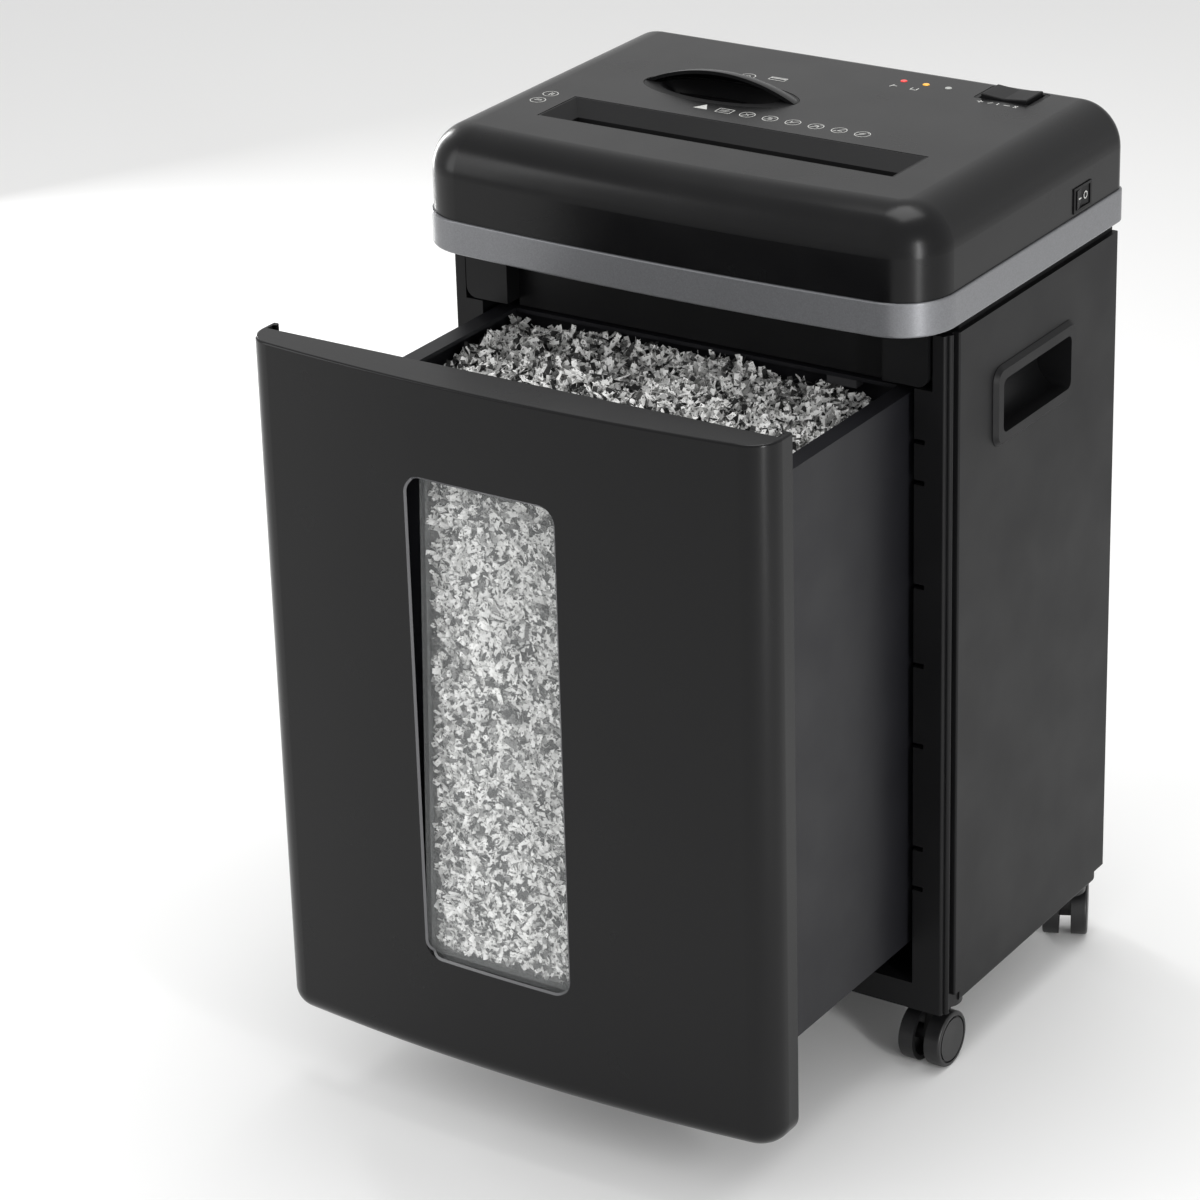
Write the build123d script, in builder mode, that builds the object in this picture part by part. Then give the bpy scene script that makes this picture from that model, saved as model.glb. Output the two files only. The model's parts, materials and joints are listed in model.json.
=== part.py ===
from build123d import *
import os
from math import cos, pi, radians, sin, tan

# Paper shredder: a cutting head on a cabinet with a pull-out bin, standing on four twin-wheel
# casters. Millimetres. +X is the right-hand side seen from the front, -Y the front and +Z up.
# The origin is on the floor under the middle of the whole, with the bin pulled out as drawn.

os.makedirs("parts", exist_ok=True)

# ---------------------------------------------------------------- driving dimensions
# Cabinet
FRONT = -4.89                # front plane of the cabinet's frame
CABINET_HALF = 175.0         # half the cabinet's width
CABINET_BACK = FRONT + 211.0
BASE_BOTTOM = 41.0           # underside of the base, on top of the casters
PANEL_BOTTOM = 52.0          # lower edge of the side panels
PANEL_TOP = 486.0            # upper edge of the side panels
RAIL_TOP = 59.0              # top of the frame's bottom rail
SIDE_SHEET = 4.0             # thickness of a side panel
POST_INNER = 151.0           # half the opening between the posts
POST_DEPTH = 22.0
NOTCH_HEIGHTS = (125.4, 152.8, 222.0, 275.0, 326.3, 392.6, 418.3)

# Head
HEAD_HALF = 178.0
HEAD_FRONT = FRONT - 40.0    # foremost point of the bowed band
HEAD_BACK = FRONT + 216.0
HEAD_BOW = 7.0               # how far the front bows out between its corners
HEAD_CORNER = 34.0           # plan radius of the head's front corners
TOP_ROLL = 27.0              # radius that rolls the sides into the top
BACK_ROLL = 9.0
BAND_BOTTOM = 493.0
BAND_TOP = 514.0
HEAD_TOP = 567.0
HEAD_WALL = 2.5

# Bin, drawn pulled out
BIN_OUT = 176.0              # how far the bin is pulled out
BIN_DATUM = FRONT - BIN_OUT  # plane of the bin that meets the cabinet's front plane when shut
BIN_HALF = 146.0
BIN_WALL = 2.5
BIN_BOTTOM = 84.0
BIN_RIM = 446.0
BIN_RIM_WIDTH = 12.0
BIN_BACK = BIN_DATUM + 199.0
BIN_FRONT = BIN_DATUM - 17.0
PANEL_HALF = 175.0
PANEL_FACE = BIN_DATUM - 40.0    # foremost point of the bowed front panel
PANEL_FACE_BOW = 11.0
PANEL_WALL = 3.0
PANEL_LOW = 51.0
PANEL_HIGH = 491.0
WINDOW_CENTRE = -8.0
WINDOW_HALF = 51.5
WINDOW_LOW = 122.0
WINDOW_HIGH = 433.0

# Casters
WHEEL_RADIUS = 18.0
WHEEL_WIDTH = 10.5
WHEEL_GAP = 8.0              # space between the two wheels for the hood's web
CASTER_TRAIL = 12.0
CASTER_X = 157.0
CASTER_FRONT = FRONT + 26.5
CASTER_REAR = FRONT + 193.0

# Cutting unit
CUTTER_Z = 522.0
CUTTER_FRONT = FRONT + 31.0  # axis of the front cutting roll
CUTTER_SPACING = 30.0
CUTTER_REAR = CUTTER_FRONT + CUTTER_SPACING
DISC_RADIUS = 17.0
DISC_PITCH = 8.0
DISC_COUNT = 28
JOURNAL = 5.0
RUNNING = 0.05               # radial clearance of a turning fit
GAP = 0.3                    # clearance between neighbouring pieces


def finish(piece, name):
    """Label a finished piece and write it as its own STEP file."""
    piece.part.label = name
    export_step(piece.part, "parts/" + name + ".step")


def bowed_plan(half_width, front, bow, back, corner):
    """Plan outline with a bowed front, rounded front corners and square back corners."""
    with BuildSketch() as plan:
        with BuildLine():
            ThreePointArc((-half_width, front + bow), (0, front), (half_width, front + bow))
            Polyline((half_width, front + bow), (half_width, back),
                     (-half_width, back), (-half_width, front + bow))
        make_face()
        fillet(plan.vertices().group_by(Axis.Y)[0], corner)
    return plan.sketch


def box_between(x0, x1, y0, y1, z0, z1, mode=Mode.ADD):
    """Box between two opposite corners, added to or cut from the part being built."""
    with Locations(((x0 + x1) / 2, (y0 + y1) / 2, (z0 + z1) / 2)):
        Box(x1 - x0, y1 - y0, z1 - z0, mode=mode)


def side_sketch_plane(x):
    """Plane across the width at x, drawn on with +Y to the right and +Z up."""
    return Plane(origin=(x, 0, 0), x_dir=(0, 1, 0), z_dir=(1, 0, 0))


def front_sketch_plane(y):
    """Plane facing forward at y, drawn on with +X to the right and +Z up."""
    return Plane(origin=(0, y, 0), x_dir=(1, 0, 0), z_dir=(0, -1, 0))


# ---------------------------------------------------------------- cabinet
NOTCH_LENGTH = 7.0
NOTCH_HEIGHT = 3.2
POST_OUTER = CABINET_HALF - SIDE_SHEET
TOP_BAR_LOW = 452.0

with BuildPart() as front_frame:
    for side in (-1, 1):
        with BuildSketch(Plane.XY.offset(BASE_BOTTOM)):
            with Locations((side * (POST_INNER + POST_OUTER) / 2, FRONT + POST_DEPTH / 2)):
                Rectangle(POST_OUTER - POST_INNER, POST_DEPTH)
            with Locations((side * (POST_OUTER + 0.4), FRONT + 5.5)):
                Circle(2.0)
        extrude(amount=PANEL_TOP - BASE_BOTTOM)
    box_between(-POST_INNER - 1, POST_INNER + 1, FRONT, FRONT + POST_DEPTH, BASE_BOTTOM, RAIL_TOP)
    box_between(-POST_INNER - 1, POST_INNER + 1, FRONT + 18.5, FRONT + POST_DEPTH,
                TOP_BAR_LOW, PANEL_TOP)
    for side in (-1, 1):
        for height in NOTCH_HEIGHTS:
            box_between(min(side * (POST_INNER - 1), side * (POST_INNER + NOTCH_LENGTH)),
                        max(side * (POST_INNER - 1), side * (POST_INNER + NOTCH_LENGTH)),
                        FRONT - 1, FRONT + 6, height - NOTCH_HEIGHT / 2, height + NOTCH_HEIGHT / 2,
                        mode=Mode.SUBTRACT)
        # the post's upper outer corner makes room for the head's corner block
        box_between(min(side * (POST_INNER - 1), side * 163), max(side * (POST_INNER - 1), side * 163),
                    FRONT - 1, FRONT + 14.5, 451.0, PANEL_TOP + 1, mode=Mode.SUBTRACT)
    outer_edges = front_frame.edges().filter_by(Axis.Z).filter_by_position(Axis.Y, FRONT - 0.1, FRONT + 0.1)
    outer_edges = [edge for edge in outer_edges if abs(abs(edge.center().X) - POST_OUTER) < 0.1]
    fillet(outer_edges, 1.5)
finish(front_frame, "front_frame")

with BuildPart() as base_tray:
    with BuildSketch(Plane.XY.offset(BASE_BOTTOM)):
        with Locations((0, (FRONT + POST_DEPTH + CABINET_BACK - 1.5) / 2)):
            Rectangle(2 * (CABINET_HALF - 3), CABINET_BACK - 1.5 - FRONT - POST_DEPTH)
    extrude(amount=PANEL_BOTTOM - BASE_BOTTOM)
    back_corners = base_tray.edges().filter_by(Axis.Z).group_by(Axis.Y)[-1]
    fillet(back_corners, 7)
    low_edges = base_tray.faces().sort_by(Axis.Z)[0].edges()
    low_edges = low_edges.filter_by_position(Axis.Y, FRONT + POST_DEPTH + 1, CABINET_BACK + 1)
    fillet(low_edges, 3)
    # hollow top between the rims, with solid corners round the caster sockets
    box_between(-CABINET_HALF + 42, CABINET_HALF - 42, FRONT + 50, CABINET_BACK - 6,
                BASE_BOTTOM + 3, PANEL_BOTTOM + 1, mode=Mode.SUBTRACT)
    with Locations(*[(side * CASTER_X, y, BASE_BOTTOM)
                     for side in (-1, 1) for y in (CASTER_FRONT, CASTER_REAR)]):
        Cylinder(4.0 + RUNNING, 16, align=(Align.CENTER, Align.CENTER, Align.CENTER), mode=Mode.SUBTRACT)
finish(base_tray, "base_tray")

# Handle recesses in the side panels, with a raised bezel round each
HANDLE_Y = FRONT + 102.5
HANDLE_Z = 424.0
BEZEL_LENGTH = 103.0
BEZEL_HEIGHT = 51.0
BEZEL_RAISE = 3.0
CUP_LENGTH = 86.0
CUP_HEIGHT = 34.0
CUP_DEPTH = 22.0
CUP_WALL = 2.0


def make_side_panel(side, name):
    """Flat side panel with a rounded opening for the handle cup."""
    with BuildPart() as panel:
        inner = side * (CABINET_HALF - SIDE_SHEET)
        with BuildSketch(side_sketch_plane(inner)):
            with Locations(((FRONT + 10.5 + CABINET_BACK) / 2, (PANEL_BOTTOM + PANEL_TOP) / 2)):
                Rectangle(CABINET_BACK - FRONT - 10.5, PANEL_TOP - PANEL_BOTTOM)
            with Locations((HANDLE_Y, HANDLE_Z)):
                RectangleRounded(CUP_LENGTH + 6, CUP_HEIGHT + 6, 7, mode=Mode.SUBTRACT)
        extrude(amount=side * SIDE_SHEET)
        upright = panel.edges().filter_by(Axis.Z).filter_by(
            lambda edge: abs(edge.center().X - side * CABINET_HALF) < 0.1
            and (edge.center().Y < FRONT + 11 or edge.center().Y > CABINET_BACK - 1))
        fillet(upright, 1.2)
    finish(panel, name)


def make_handle_cup(side, name):
    """Finger cup behind a raised bezel, with a curved floor that leads the fingers in."""
    outer = side * CABINET_HALF
    with BuildPart() as cup:
        with BuildSketch(side_sketch_plane(outer)):
            with Locations((HANDLE_Y, HANDLE_Z)):
                RectangleRounded(BEZEL_LENGTH, BEZEL_HEIGHT, 9)
        extrude(amount=side * BEZEL_RAISE)
        rim = cup.faces().sort_by(Axis.X)[-1 if side > 0 else 0].edges()
        chamfer(rim, 2.6)
        with BuildSketch(side_sketch_plane(outer - side * CUP_DEPTH)):
            with Locations((HANDLE_Y, HANDLE_Z)):
                RectangleRounded(CUP_LENGTH + 2 * CUP_WALL, CUP_HEIGHT + 2 * CUP_WALL, 6)
        extrude(amount=side * CUP_DEPTH)
        with BuildSketch(side_sketch_plane(outer - side * (CUP_DEPTH - CUP_WALL))):
            with Locations((HANDLE_Y, HANDLE_Z)):
                RectangleRounded(CUP_LENGTH, CUP_HEIGHT, 4.5)
        extrude(amount=side * (CUP_DEPTH + BEZEL_RAISE), mode=Mode.SUBTRACT)
        # curved floor
        floor = HANDLE_Z - CUP_HEIGHT / 2
        back = outer - side * (CUP_DEPTH - CUP_WALL)
        with BuildSketch(Plane.XZ.offset(-(HANDLE_Y - CUP_LENGTH / 2 - 0.5))):
            with BuildLine():
                CenterArc((back + side * 14, floor + 14), 14, 180 if side > 0 else 270, 90)
                Polyline((back + side * 14, floor), (back - side * 0.5, floor - 0.5),
                         (back, floor + 14))
            make_face()
        extrude(amount=-(CUP_LENGTH + 1))
    finish(cup, name)


for side, hand in ((-1, "left"), (1, "right")):
    make_side_panel(side, "side_panel_" + hand)
    make_handle_cup(side, "handle_cup_" + hand)

with BuildPart() as back_panel:
    box_between(-POST_OUTER + GAP, POST_OUTER - GAP, CABINET_BACK - 4.5, CABINET_BACK - 1.5,
                PANEL_BOTTOM, PANEL_TOP)
    # pressed-in field that stiffens the sheet
    with BuildSketch(front_sketch_plane(CABINET_BACK - 1.5)):
        with Locations((0, (PANEL_BOTTOM + PANEL_TOP) / 2)):
            RectangleRounded(280, 360, 14)
    extrude(amount=1.2, mode=Mode.SUBTRACT)
finish(back_panel, "back_panel")

RUNNER_TOP = BIN_BOTTOM - GAP


# angles along the cabinet's sides that carry and guide the bin's lower edges
with BuildPart() as bin_runners:
    wall = POST_OUTER - GAP
    for side in (-1, 1):
        with BuildSketch(Plane.XZ.offset(-(FRONT + POST_DEPTH + 2))):
            with BuildLine():
                Polyline((side * 136, RUNNER_TOP - 3), (side * wall, RUNNER_TOP - 3),
                         (side * wall, RUNNER_TOP + 12), (side * (wall - 3), RUNNER_TOP + 12),
                         (side * (wall - 3), RUNNER_TOP), (side * 151, RUNNER_TOP),
                         (side * 149, RUNNER_TOP + 8), (side * 147, RUNNER_TOP + 8),
                         (side * 147, RUNNER_TOP), (side * 136, RUNNER_TOP), close=True)
            make_face()
        extrude(amount=-(CABINET_BACK - 5 - FRONT - POST_DEPTH - 2))
finish(bin_runners, "bin_runners")

# ---------------------------------------------------------------- bin
LENS_WALL = 2.0
LENS_LOW_Y = BIN_DATUM - 34.0
LENS_HIGH_Y = BIN_DATUM - 19.0
SCREW_ROWS = (125.0, 285.0, 462.0)
SCREW_X = 118.0
BOSS_FACE = BIN_FRONT - 0.2

# space inside the bin, its back corners rounded within the shell's own
with BuildPart() as bin_cavity:
    box_between(-BIN_HALF + BIN_WALL, BIN_HALF - BIN_WALL, BIN_FRONT + BIN_WALL, BIN_BACK - BIN_WALL,
                BIN_BOTTOM + BIN_WALL, BIN_RIM - BIN_WALL)
    fillet(bin_cavity.edges().filter_by(Axis.Z).group_by(Axis.Y)[-1], 12 - BIN_WALL)

with BuildPart() as bin_shell:
    box_between(-BIN_HALF, BIN_HALF, BIN_FRONT, BIN_BACK, BIN_BOTTOM, BIN_RIM)
    fillet(bin_shell.edges().filter_by(Axis.Z).group_by(Axis.Y)[-1], 12)
    add(bin_cavity.part, mode=Mode.SUBTRACT)
    # inward rim round the top
    box_between(-BIN_HALF + BIN_RIM_WIDTH, BIN_HALF - BIN_RIM_WIDTH, BIN_FRONT + BIN_WALL,
                BIN_BACK - BIN_RIM_WIDTH, BIN_RIM - BIN_WALL - 1, BIN_RIM + 1, mode=Mode.SUBTRACT)
    # the front wall rises to the panel's deck
    box_between(-BIN_HALF + 4, BIN_HALF - 4, BIN_FRONT, BIN_FRONT + BIN_WALL,
                BIN_RIM - 4, PANEL_HIGH - PANEL_WALL - GAP)
    with BuildSketch(front_sketch_plane(BIN_FRONT - 1)):
        with Locations((WINDOW_CENTRE, (WINDOW_LOW + WINDOW_HIGH) / 2)):
            Rectangle(2 * WINDOW_HALF + 6, WINDOW_HIGH - WINDOW_LOW + 4)
    extrude(amount=-(BIN_WALL + 2), mode=Mode.SUBTRACT)
    with Locations(*[(side * SCREW_X, BIN_FRONT + BIN_WALL / 2, row)
                     for side in (-1, 1) for row in SCREW_ROWS]):
        Cylinder(1.8, BIN_WALL + 2, rotation=(90, 0, 0), mode=Mode.SUBTRACT)
finish(bin_shell, "bin_shell")

# space behind the panel's face and under its deck, rolled at the bottom like the face itself
with BuildPart() as panel_hollow:
    with BuildSketch(Plane.XY.offset(PANEL_LOW + PANEL_WALL)):
        add(bowed_plan(PANEL_HALF - PANEL_WALL, PANEL_FACE + PANEL_WALL, PANEL_FACE_BOW,
                       BIN_DATUM, 16.0))
    extrude(amount=PANEL_HIGH - 2 * PANEL_WALL - PANEL_LOW)
    hollow_low = panel_hollow.edges().filter_by(Axis.Y).group_by(Axis.Z)[0]
    fillet(hollow_low, 10)

with BuildPart() as bin_front_panel:
    with BuildSketch(Plane.XY.offset(PANEL_LOW)):
        add(bowed_plan(PANEL_HALF, PANEL_FACE, PANEL_FACE_BOW, BIN_DATUM - 1.5, 19))
    extrude(amount=PANEL_HIGH - PANEL_LOW)
    # the lower edge rolls under all the way round
    low_corners = bin_front_panel.edges().filter_by(Axis.Y).group_by(Axis.Z)[0]
    fillet(low_corners, 13)
    front_chain = bin_front_panel.faces().sort_by(Axis.Z)[-1].edges().filter_by(
        lambda edge: edge.center().Y < BIN_DATUM - 2)
    fillet(front_chain, 1.4)
    add(panel_hollow.part, mode=Mode.SUBTRACT)
    # the deck ends at the bin's front wall, the side flanges go further back
    box_between(-PANEL_HALF + PANEL_WALL, PANEL_HALF - PANEL_WALL, BIN_DATUM - 11, BIN_DATUM,
                PANEL_LOW - 1, PANEL_HIGH + 1, mode=Mode.SUBTRACT)
    for side in (-1, 1):
        with BuildSketch(Plane.XY.offset(PANEL_LOW + 26)):
            with Locations((side * (PANEL_HALF - PANEL_WALL - 0.5), BIN_DATUM - 3.2)):
                Circle(1.7)
        extrude(amount=PANEL_HIGH - PANEL_LOW - 26)
    with BuildSketch(front_sketch_plane(PANEL_FACE - 1)):
        with Locations((WINDOW_CENTRE, (WINDOW_LOW + WINDOW_HIGH) / 2)):
            RectangleRounded(2 * WINDOW_HALF, WINDOW_HIGH - WINDOW_LOW, 11)
    extrude(amount=-12, mode=Mode.SUBTRACT)
    for side in (-1, 1):
        for row in SCREW_ROWS:
            with BuildSketch(front_sketch_plane(BOSS_FACE)):
                with Locations((side * SCREW_X, row)):
                    Circle(5)
                    Circle(1.8, mode=Mode.SUBTRACT)
            extrude(amount=BOSS_FACE - (PANEL_FACE + PANEL_FACE_BOW * 0.45 + PANEL_WALL) + 0.6)
finish(bin_front_panel, "bin_front_panel")

with BuildPart() as window_lens:
    # leaning clear tray: a front plate with side and end returns back to the bin's wall
    lens_half = WINDOW_HALF + 2.5
    lens_low = WINDOW_LOW - 1.5
    lens_high = WINDOW_HIGH + 1.5
    with BuildSketch(Plane.YZ.offset(WINDOW_CENTRE - lens_half)):
        with BuildLine():
            Polyline((LENS_LOW_Y, lens_low), (LENS_HIGH_Y, lens_high), (BIN_FRONT + BIN_WALL, lens_high),
                     (BIN_FRONT + BIN_WALL, lens_low), close=True)
        make_face()
    extrude(amount=2 * lens_half)
    with BuildSketch(Plane.YZ.offset(WINDOW_CENTRE - lens_half + LENS_WALL)):
        with BuildLine():
            Polyline((LENS_LOW_Y + LENS_WALL, lens_low + LENS_WALL),
                     (LENS_HIGH_Y + LENS_WALL, lens_high - LENS_WALL),
                     (BIN_FRONT + BIN_WALL + 1, lens_high - LENS_WALL),
                     (BIN_FRONT + BIN_WALL + 1, lens_low + LENS_WALL), close=True)
        make_face()
    extrude(amount=2 * (lens_half - LENS_WALL), mode=Mode.SUBTRACT)
finish(window_lens, "window_lens")

with BuildPart() as panel_screws:
    for side in (-1, 1):
        for row in SCREW_ROWS:
            with BuildSketch(front_sketch_plane(BIN_FRONT + BIN_WALL)):
                with Locations((side * SCREW_X, row)):
                    Circle(1.7)
            extrude(amount=12)
            with BuildSketch(front_sketch_plane(BIN_FRONT + BIN_WALL + 2.2)):
                with Locations((side * SCREW_X, row)):
                    Circle(3.5)
            extrude(amount=2.2)
            with BuildSketch(front_sketch_plane(BIN_FRONT + BIN_WALL + 2.3)):
                with Locations((side * SCREW_X, row)):
                    Rectangle(4, 0.9)
                    Rectangle(0.9, 4)
            extrude(amount=1.2, mode=Mode.SUBTRACT)
finish(panel_screws, "panel_screws")

with BuildPart() as bin_magnet:
    box_between(86, 106, BIN_BACK - BIN_RIM_WIDTH + 0.5, BIN_BACK - BIN_WALL - 1,
                BIN_RIM - BIN_WALL - 5.2, BIN_RIM - BIN_WALL)
finish(bin_magnet, "bin_magnet")

# ---------------------------------------------------------------- casters
HOOD_TOP = BASE_BOTTOM - 0.2
WEB_HALF = WHEEL_GAP / 2 - GAP
AXLE_RADIUS = 2.5


def caster_point(x, y, swivel, along, across, height):
    """Point of a caster: along its rolling direction and across it, from the stem's axis."""
    turn = radians(swivel)
    return (x + across * cos(turn) - along * sin(turn), y + across * sin(turn) + along * cos(turn), height)


def make_caster(name, x, y, swivel, trail):
    """Twin-wheel caster: hood with its stem, two wheels pressed on one axle, and hub caps."""
    turn = radians(swivel)
    rolling = (-sin(turn), cos(turn), 0)
    across = (cos(turn), sin(turn), 0)
    axle_centre = caster_point(x, y, swivel, trail, 0, WHEEL_RADIUS)

    def wheel_plane(offset):
        """Plane across the axle at a distance along it, drawn on with the rolling direction right."""
        origin = Vector(*axle_centre) + Vector(*across) * offset
        return Plane(origin=origin, x_dir=rolling, z_dir=across)

    with BuildPart() as hood:
        with BuildSketch(wheel_plane(-WEB_HALF)):
            # web between the wheels: hub round the axle, rising to the turntable under the base
            with BuildLine():
                top = HOOD_TOP - WHEEL_RADIUS
                Polyline((-trail - 13, top), (-trail + 13, top), (-trail + 11, top - 5),
                         (6, 0), (4, -5), (-4, -5), (-6, 0), (-trail - 11, top - 5), close=True)
            make_face()
            Circle(AXLE_RADIUS + RUNNING, mode=Mode.SUBTRACT)
        extrude(amount=2 * WEB_HALF)
        with BuildSketch(Plane.XY.offset(HOOD_TOP - 3.4)):
            with Locations((x, y)):
                Circle(13)
        extrude(amount=3.4)
        with BuildSketch(Plane.XY.offset(HOOD_TOP)):
            with Locations((x, y)):
                Circle(4)
        extrude(amount=8)
    finish(hood, "caster_hood_" + name)

    with BuildPart() as axle:
        with BuildSketch(wheel_plane(-WHEEL_GAP / 2 - WHEEL_WIDTH + 3)):
            Circle(AXLE_RADIUS)
        extrude(amount=WHEEL_GAP + 2 * WHEEL_WIDTH - 6)
    finish(axle, "caster_axle_" + name)

    with BuildPart() as wheels:
        for side in (-1, 1):
            with BuildSketch(wheel_plane(side * WHEEL_GAP / 2)):
                Circle(WHEEL_RADIUS)
            extrude(amount=side * WHEEL_WIDTH)
            face = wheels.faces().sort_by(
                lambda f: side * (f.center() - Vector(*axle_centre)).dot(Vector(*across)))[-1]
            fillet(face.edges(), 1.6)
            # rim groove and dished hub on the outer face
            with BuildSketch(wheel_plane(side * (WHEEL_GAP / 2 + WHEEL_WIDTH))):
                Circle(15.2)
                Circle(14.0, mode=Mode.SUBTRACT)
            extrude(amount=-side * 1.4, mode=Mode.SUBTRACT)
            with BuildSketch(wheel_plane(side * (WHEEL_GAP / 2 - 0.1))):
                Circle(15)
                Circle(5, mode=Mode.SUBTRACT)
            extrude(amount=side * (WHEEL_WIDTH - 4), mode=Mode.SUBTRACT)
            with BuildSketch(wheel_plane(side * (WHEEL_GAP / 2 - 0.1))):
                Circle(AXLE_RADIUS)
            extrude(amount=side * (WHEEL_WIDTH - 2.9), mode=Mode.SUBTRACT)
    finish(wheels, "caster_wheels_" + name)


for name, x, y, swivel, trail in (
        ("front_right", CASTER_X, CASTER_FRONT, 0, -CASTER_TRAIL),
        ("front_left", -CASTER_X, CASTER_FRONT, 0, -CASTER_TRAIL),
        ("rear_right", CASTER_X, CASTER_REAR, 25, CASTER_TRAIL),
        ("rear_left", -CASTER_X, CASTER_REAR, -20, CASTER_TRAIL)):
    make_caster(name, x, y, swivel, trail)

# ---------------------------------------------------------------- head: shells
SLOT_HALF = 123.0            # half the length of the paper entry's recess
SLOT_FRONT = FRONT + 25.0
SLOT_BACK = FRONT + 67.0
COWL_X = -50.0               # middle of the card slot
COWL_Y = FRONT + 116.0       # mouth of the card slot's cowl
COWL_HALF = 54.0
ROCKER_X = 111.0
ROCKER_Y = FRONT + 192.0
ROCKER_HALF_X = 20.0
ROCKER_HALF_Y = 13.5
LED_Y = FRONT + 188.0
LED_XS = (38.5, 54.0, 69.5)
LED_NAMES = ("overheat_lens", "bin_lens", "ready_lens")
LED_RADIUS = 2.2
POWER_Y = FRONT + 158.0
POWER_Z = 524.0
POWER_HALF_Y = 11.5
POWER_HALF_Z = 8.0

with BuildPart() as head_cover:
    with BuildSketch(Plane.XY.offset(BAND_TOP)):
        add(bowed_plan(HEAD_HALF - 1.5, HEAD_FRONT + 1.5, HEAD_BOW, HEAD_BACK - 1.0, HEAD_CORNER))
    extrude(amount=HEAD_TOP - BAND_TOP)
    rolled = head_cover.faces().sort_by(Axis.Z)[-1].edges().filter_by(
        lambda edge: edge.center().Y < HEAD_BACK - 5)
    fillet(rolled, TOP_ROLL)
    back_outline = head_cover.faces().sort_by(Axis.Y)[-1].edges().filter_by(
        lambda edge: edge.center().Z > BAND_TOP + 1)
    fillet(back_outline, BACK_ROLL)
    offset(amount=-HEAD_WALL, openings=head_cover.faces().sort_by(Axis.Z)[0])
    # paper entry, card slot, rocker and lamp openings
    box_between(-SLOT_HALF, SLOT_HALF, SLOT_FRONT, SLOT_BACK, HEAD_TOP - 8, HEAD_TOP + 1,
                mode=Mode.SUBTRACT)
    with BuildSketch(Plane.XY.offset(HEAD_TOP + 1)):
        with Locations((COWL_X, COWL_Y + 2)):
            Ellipse(COWL_HALF, 24)
        with Locations((ROCKER_X, ROCKER_Y)):
            RectangleRounded(2 * ROCKER_HALF_X, 2 * ROCKER_HALF_Y, 3)
        with Locations(*[(x, LED_Y) for x in LED_XS]):
            Circle(LED_RADIUS + 0.1)
    extrude(amount=-10, mode=Mode.SUBTRACT)
    with BuildSketch(side_sketch_plane(HEAD_HALF)):
        with Locations((POWER_Y, POWER_Z)):
            Rectangle(2 * POWER_HALF_Y, 2 * POWER_HALF_Z)
    extrude(amount=-8, mode=Mode.SUBTRACT)
    # cooling slots in the back
    for step in range(-6, 7):
        with BuildSketch(Plane.XZ.offset(-(HEAD_BACK + 1))):
            with Locations((70 + step * 8, 535)):
                SlotOverall(22, 3.4, rotation=90)
        extrude(amount=6, mode=Mode.SUBTRACT)
finish(head_cover, "head_cover")

with BuildPart() as trim_band:
    with BuildSketch(Plane.XY.offset(BAND_BOTTOM)):
        add(bowed_plan(HEAD_HALF, HEAD_FRONT, HEAD_BOW, HEAD_BACK, HEAD_CORNER + 1.5))
    extrude(amount=BAND_TOP - BAND_BOTTOM)
    corners = trim_band.edges().filter_by(Axis.Z).group_by(Axis.Y)[-1]
    fillet(corners, BACK_ROLL + 1)
    fillet(trim_band.faces().sort_by(Axis.Z)[0].edges(), 1.6)
    fillet(trim_band.faces().sort_by(Axis.Z)[-1].edges(), 0.9)
    with BuildSketch(Plane.XY.offset(BAND_BOTTOM - 1)):
        add(bowed_plan(HEAD_HALF - 4, HEAD_FRONT + 4, HEAD_BOW, HEAD_BACK - 4, HEAD_CORNER - 2.5))
    extrude(amount=BAND_TOP - BAND_BOTTOM + 2, mode=Mode.SUBTRACT)
finish(trim_band, "trim_band")

FLOOR_TOP = 496.0
SKIRT_LOW = 448.5
BLOCK_LOW = 453.0

with BuildPart() as head_base:
    with BuildSketch(Plane.XY.offset(BAND_BOTTOM + 0.5)):
        add(bowed_plan(HEAD_HALF - 4.3, HEAD_FRONT + 4.3, HEAD_BOW, HEAD_BACK - 4.3, HEAD_CORNER - 2.8))
    extrude(amount=BAND_TOP - BAND_BOTTOM - 0.8)
    with BuildSketch(Plane.XY.offset(FLOOR_TOP)):
        add(bowed_plan(HEAD_HALF - 7, HEAD_FRONT + 7, HEAD_BOW, HEAD_BACK - 7, HEAD_CORNER - 5.5))
    extrude(amount=30, mode=Mode.SUBTRACT)
    # plinth that sits on the cabinet's walls
    box_between(-POST_OUTER - 0.5, POST_OUTER + 0.5, FRONT + 15.2, CABINET_BACK - 1.5, PANEL_TOP,
                BAND_BOTTOM + 0.5)
    box_between(-POST_INNER + 12, POST_INNER - 12, FRONT + 18, CABINET_BACK - 14, PANEL_TOP - 1,
                BAND_BOTTOM + 0.5, mode=Mode.SUBTRACT)
    # corner blocks and the skirt that closes the front above the bin
    for side in (-1, 1):
        box_between(min(side * 131, side * 161), max(side * 131, side * 161), FRONT - 2, FRONT + 14.2,
                    BLOCK_LOW, BAND_BOTTOM + 1)
    block_corners = head_base.edges().filter_by(Axis.Y).filter_by(
        lambda edge: abs(edge.center().Z - BLOCK_LOW) < 0.1 and abs(abs(edge.center().X) - 161) < 0.1)
    fillet(block_corners, 7)
    box_between(-131, 131, FRONT + 11, FRONT + 14.2, SKIRT_LOW, BAND_BOTTOM + 1)
    box_between(-112, 112, FRONT + 22, FRONT + 74, PANEL_TOP, FLOOR_TOP + 1, mode=Mode.SUBTRACT)
    # seat for the mains lead's gland in the back wall
    with BuildSketch(Plane.XZ.offset(-(HEAD_BACK - 3))):
        with Locations((-120, 504)):
            Circle(6)
    extrude(amount=8, mode=Mode.SUBTRACT)
finish(head_base, "head_base")

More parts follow.
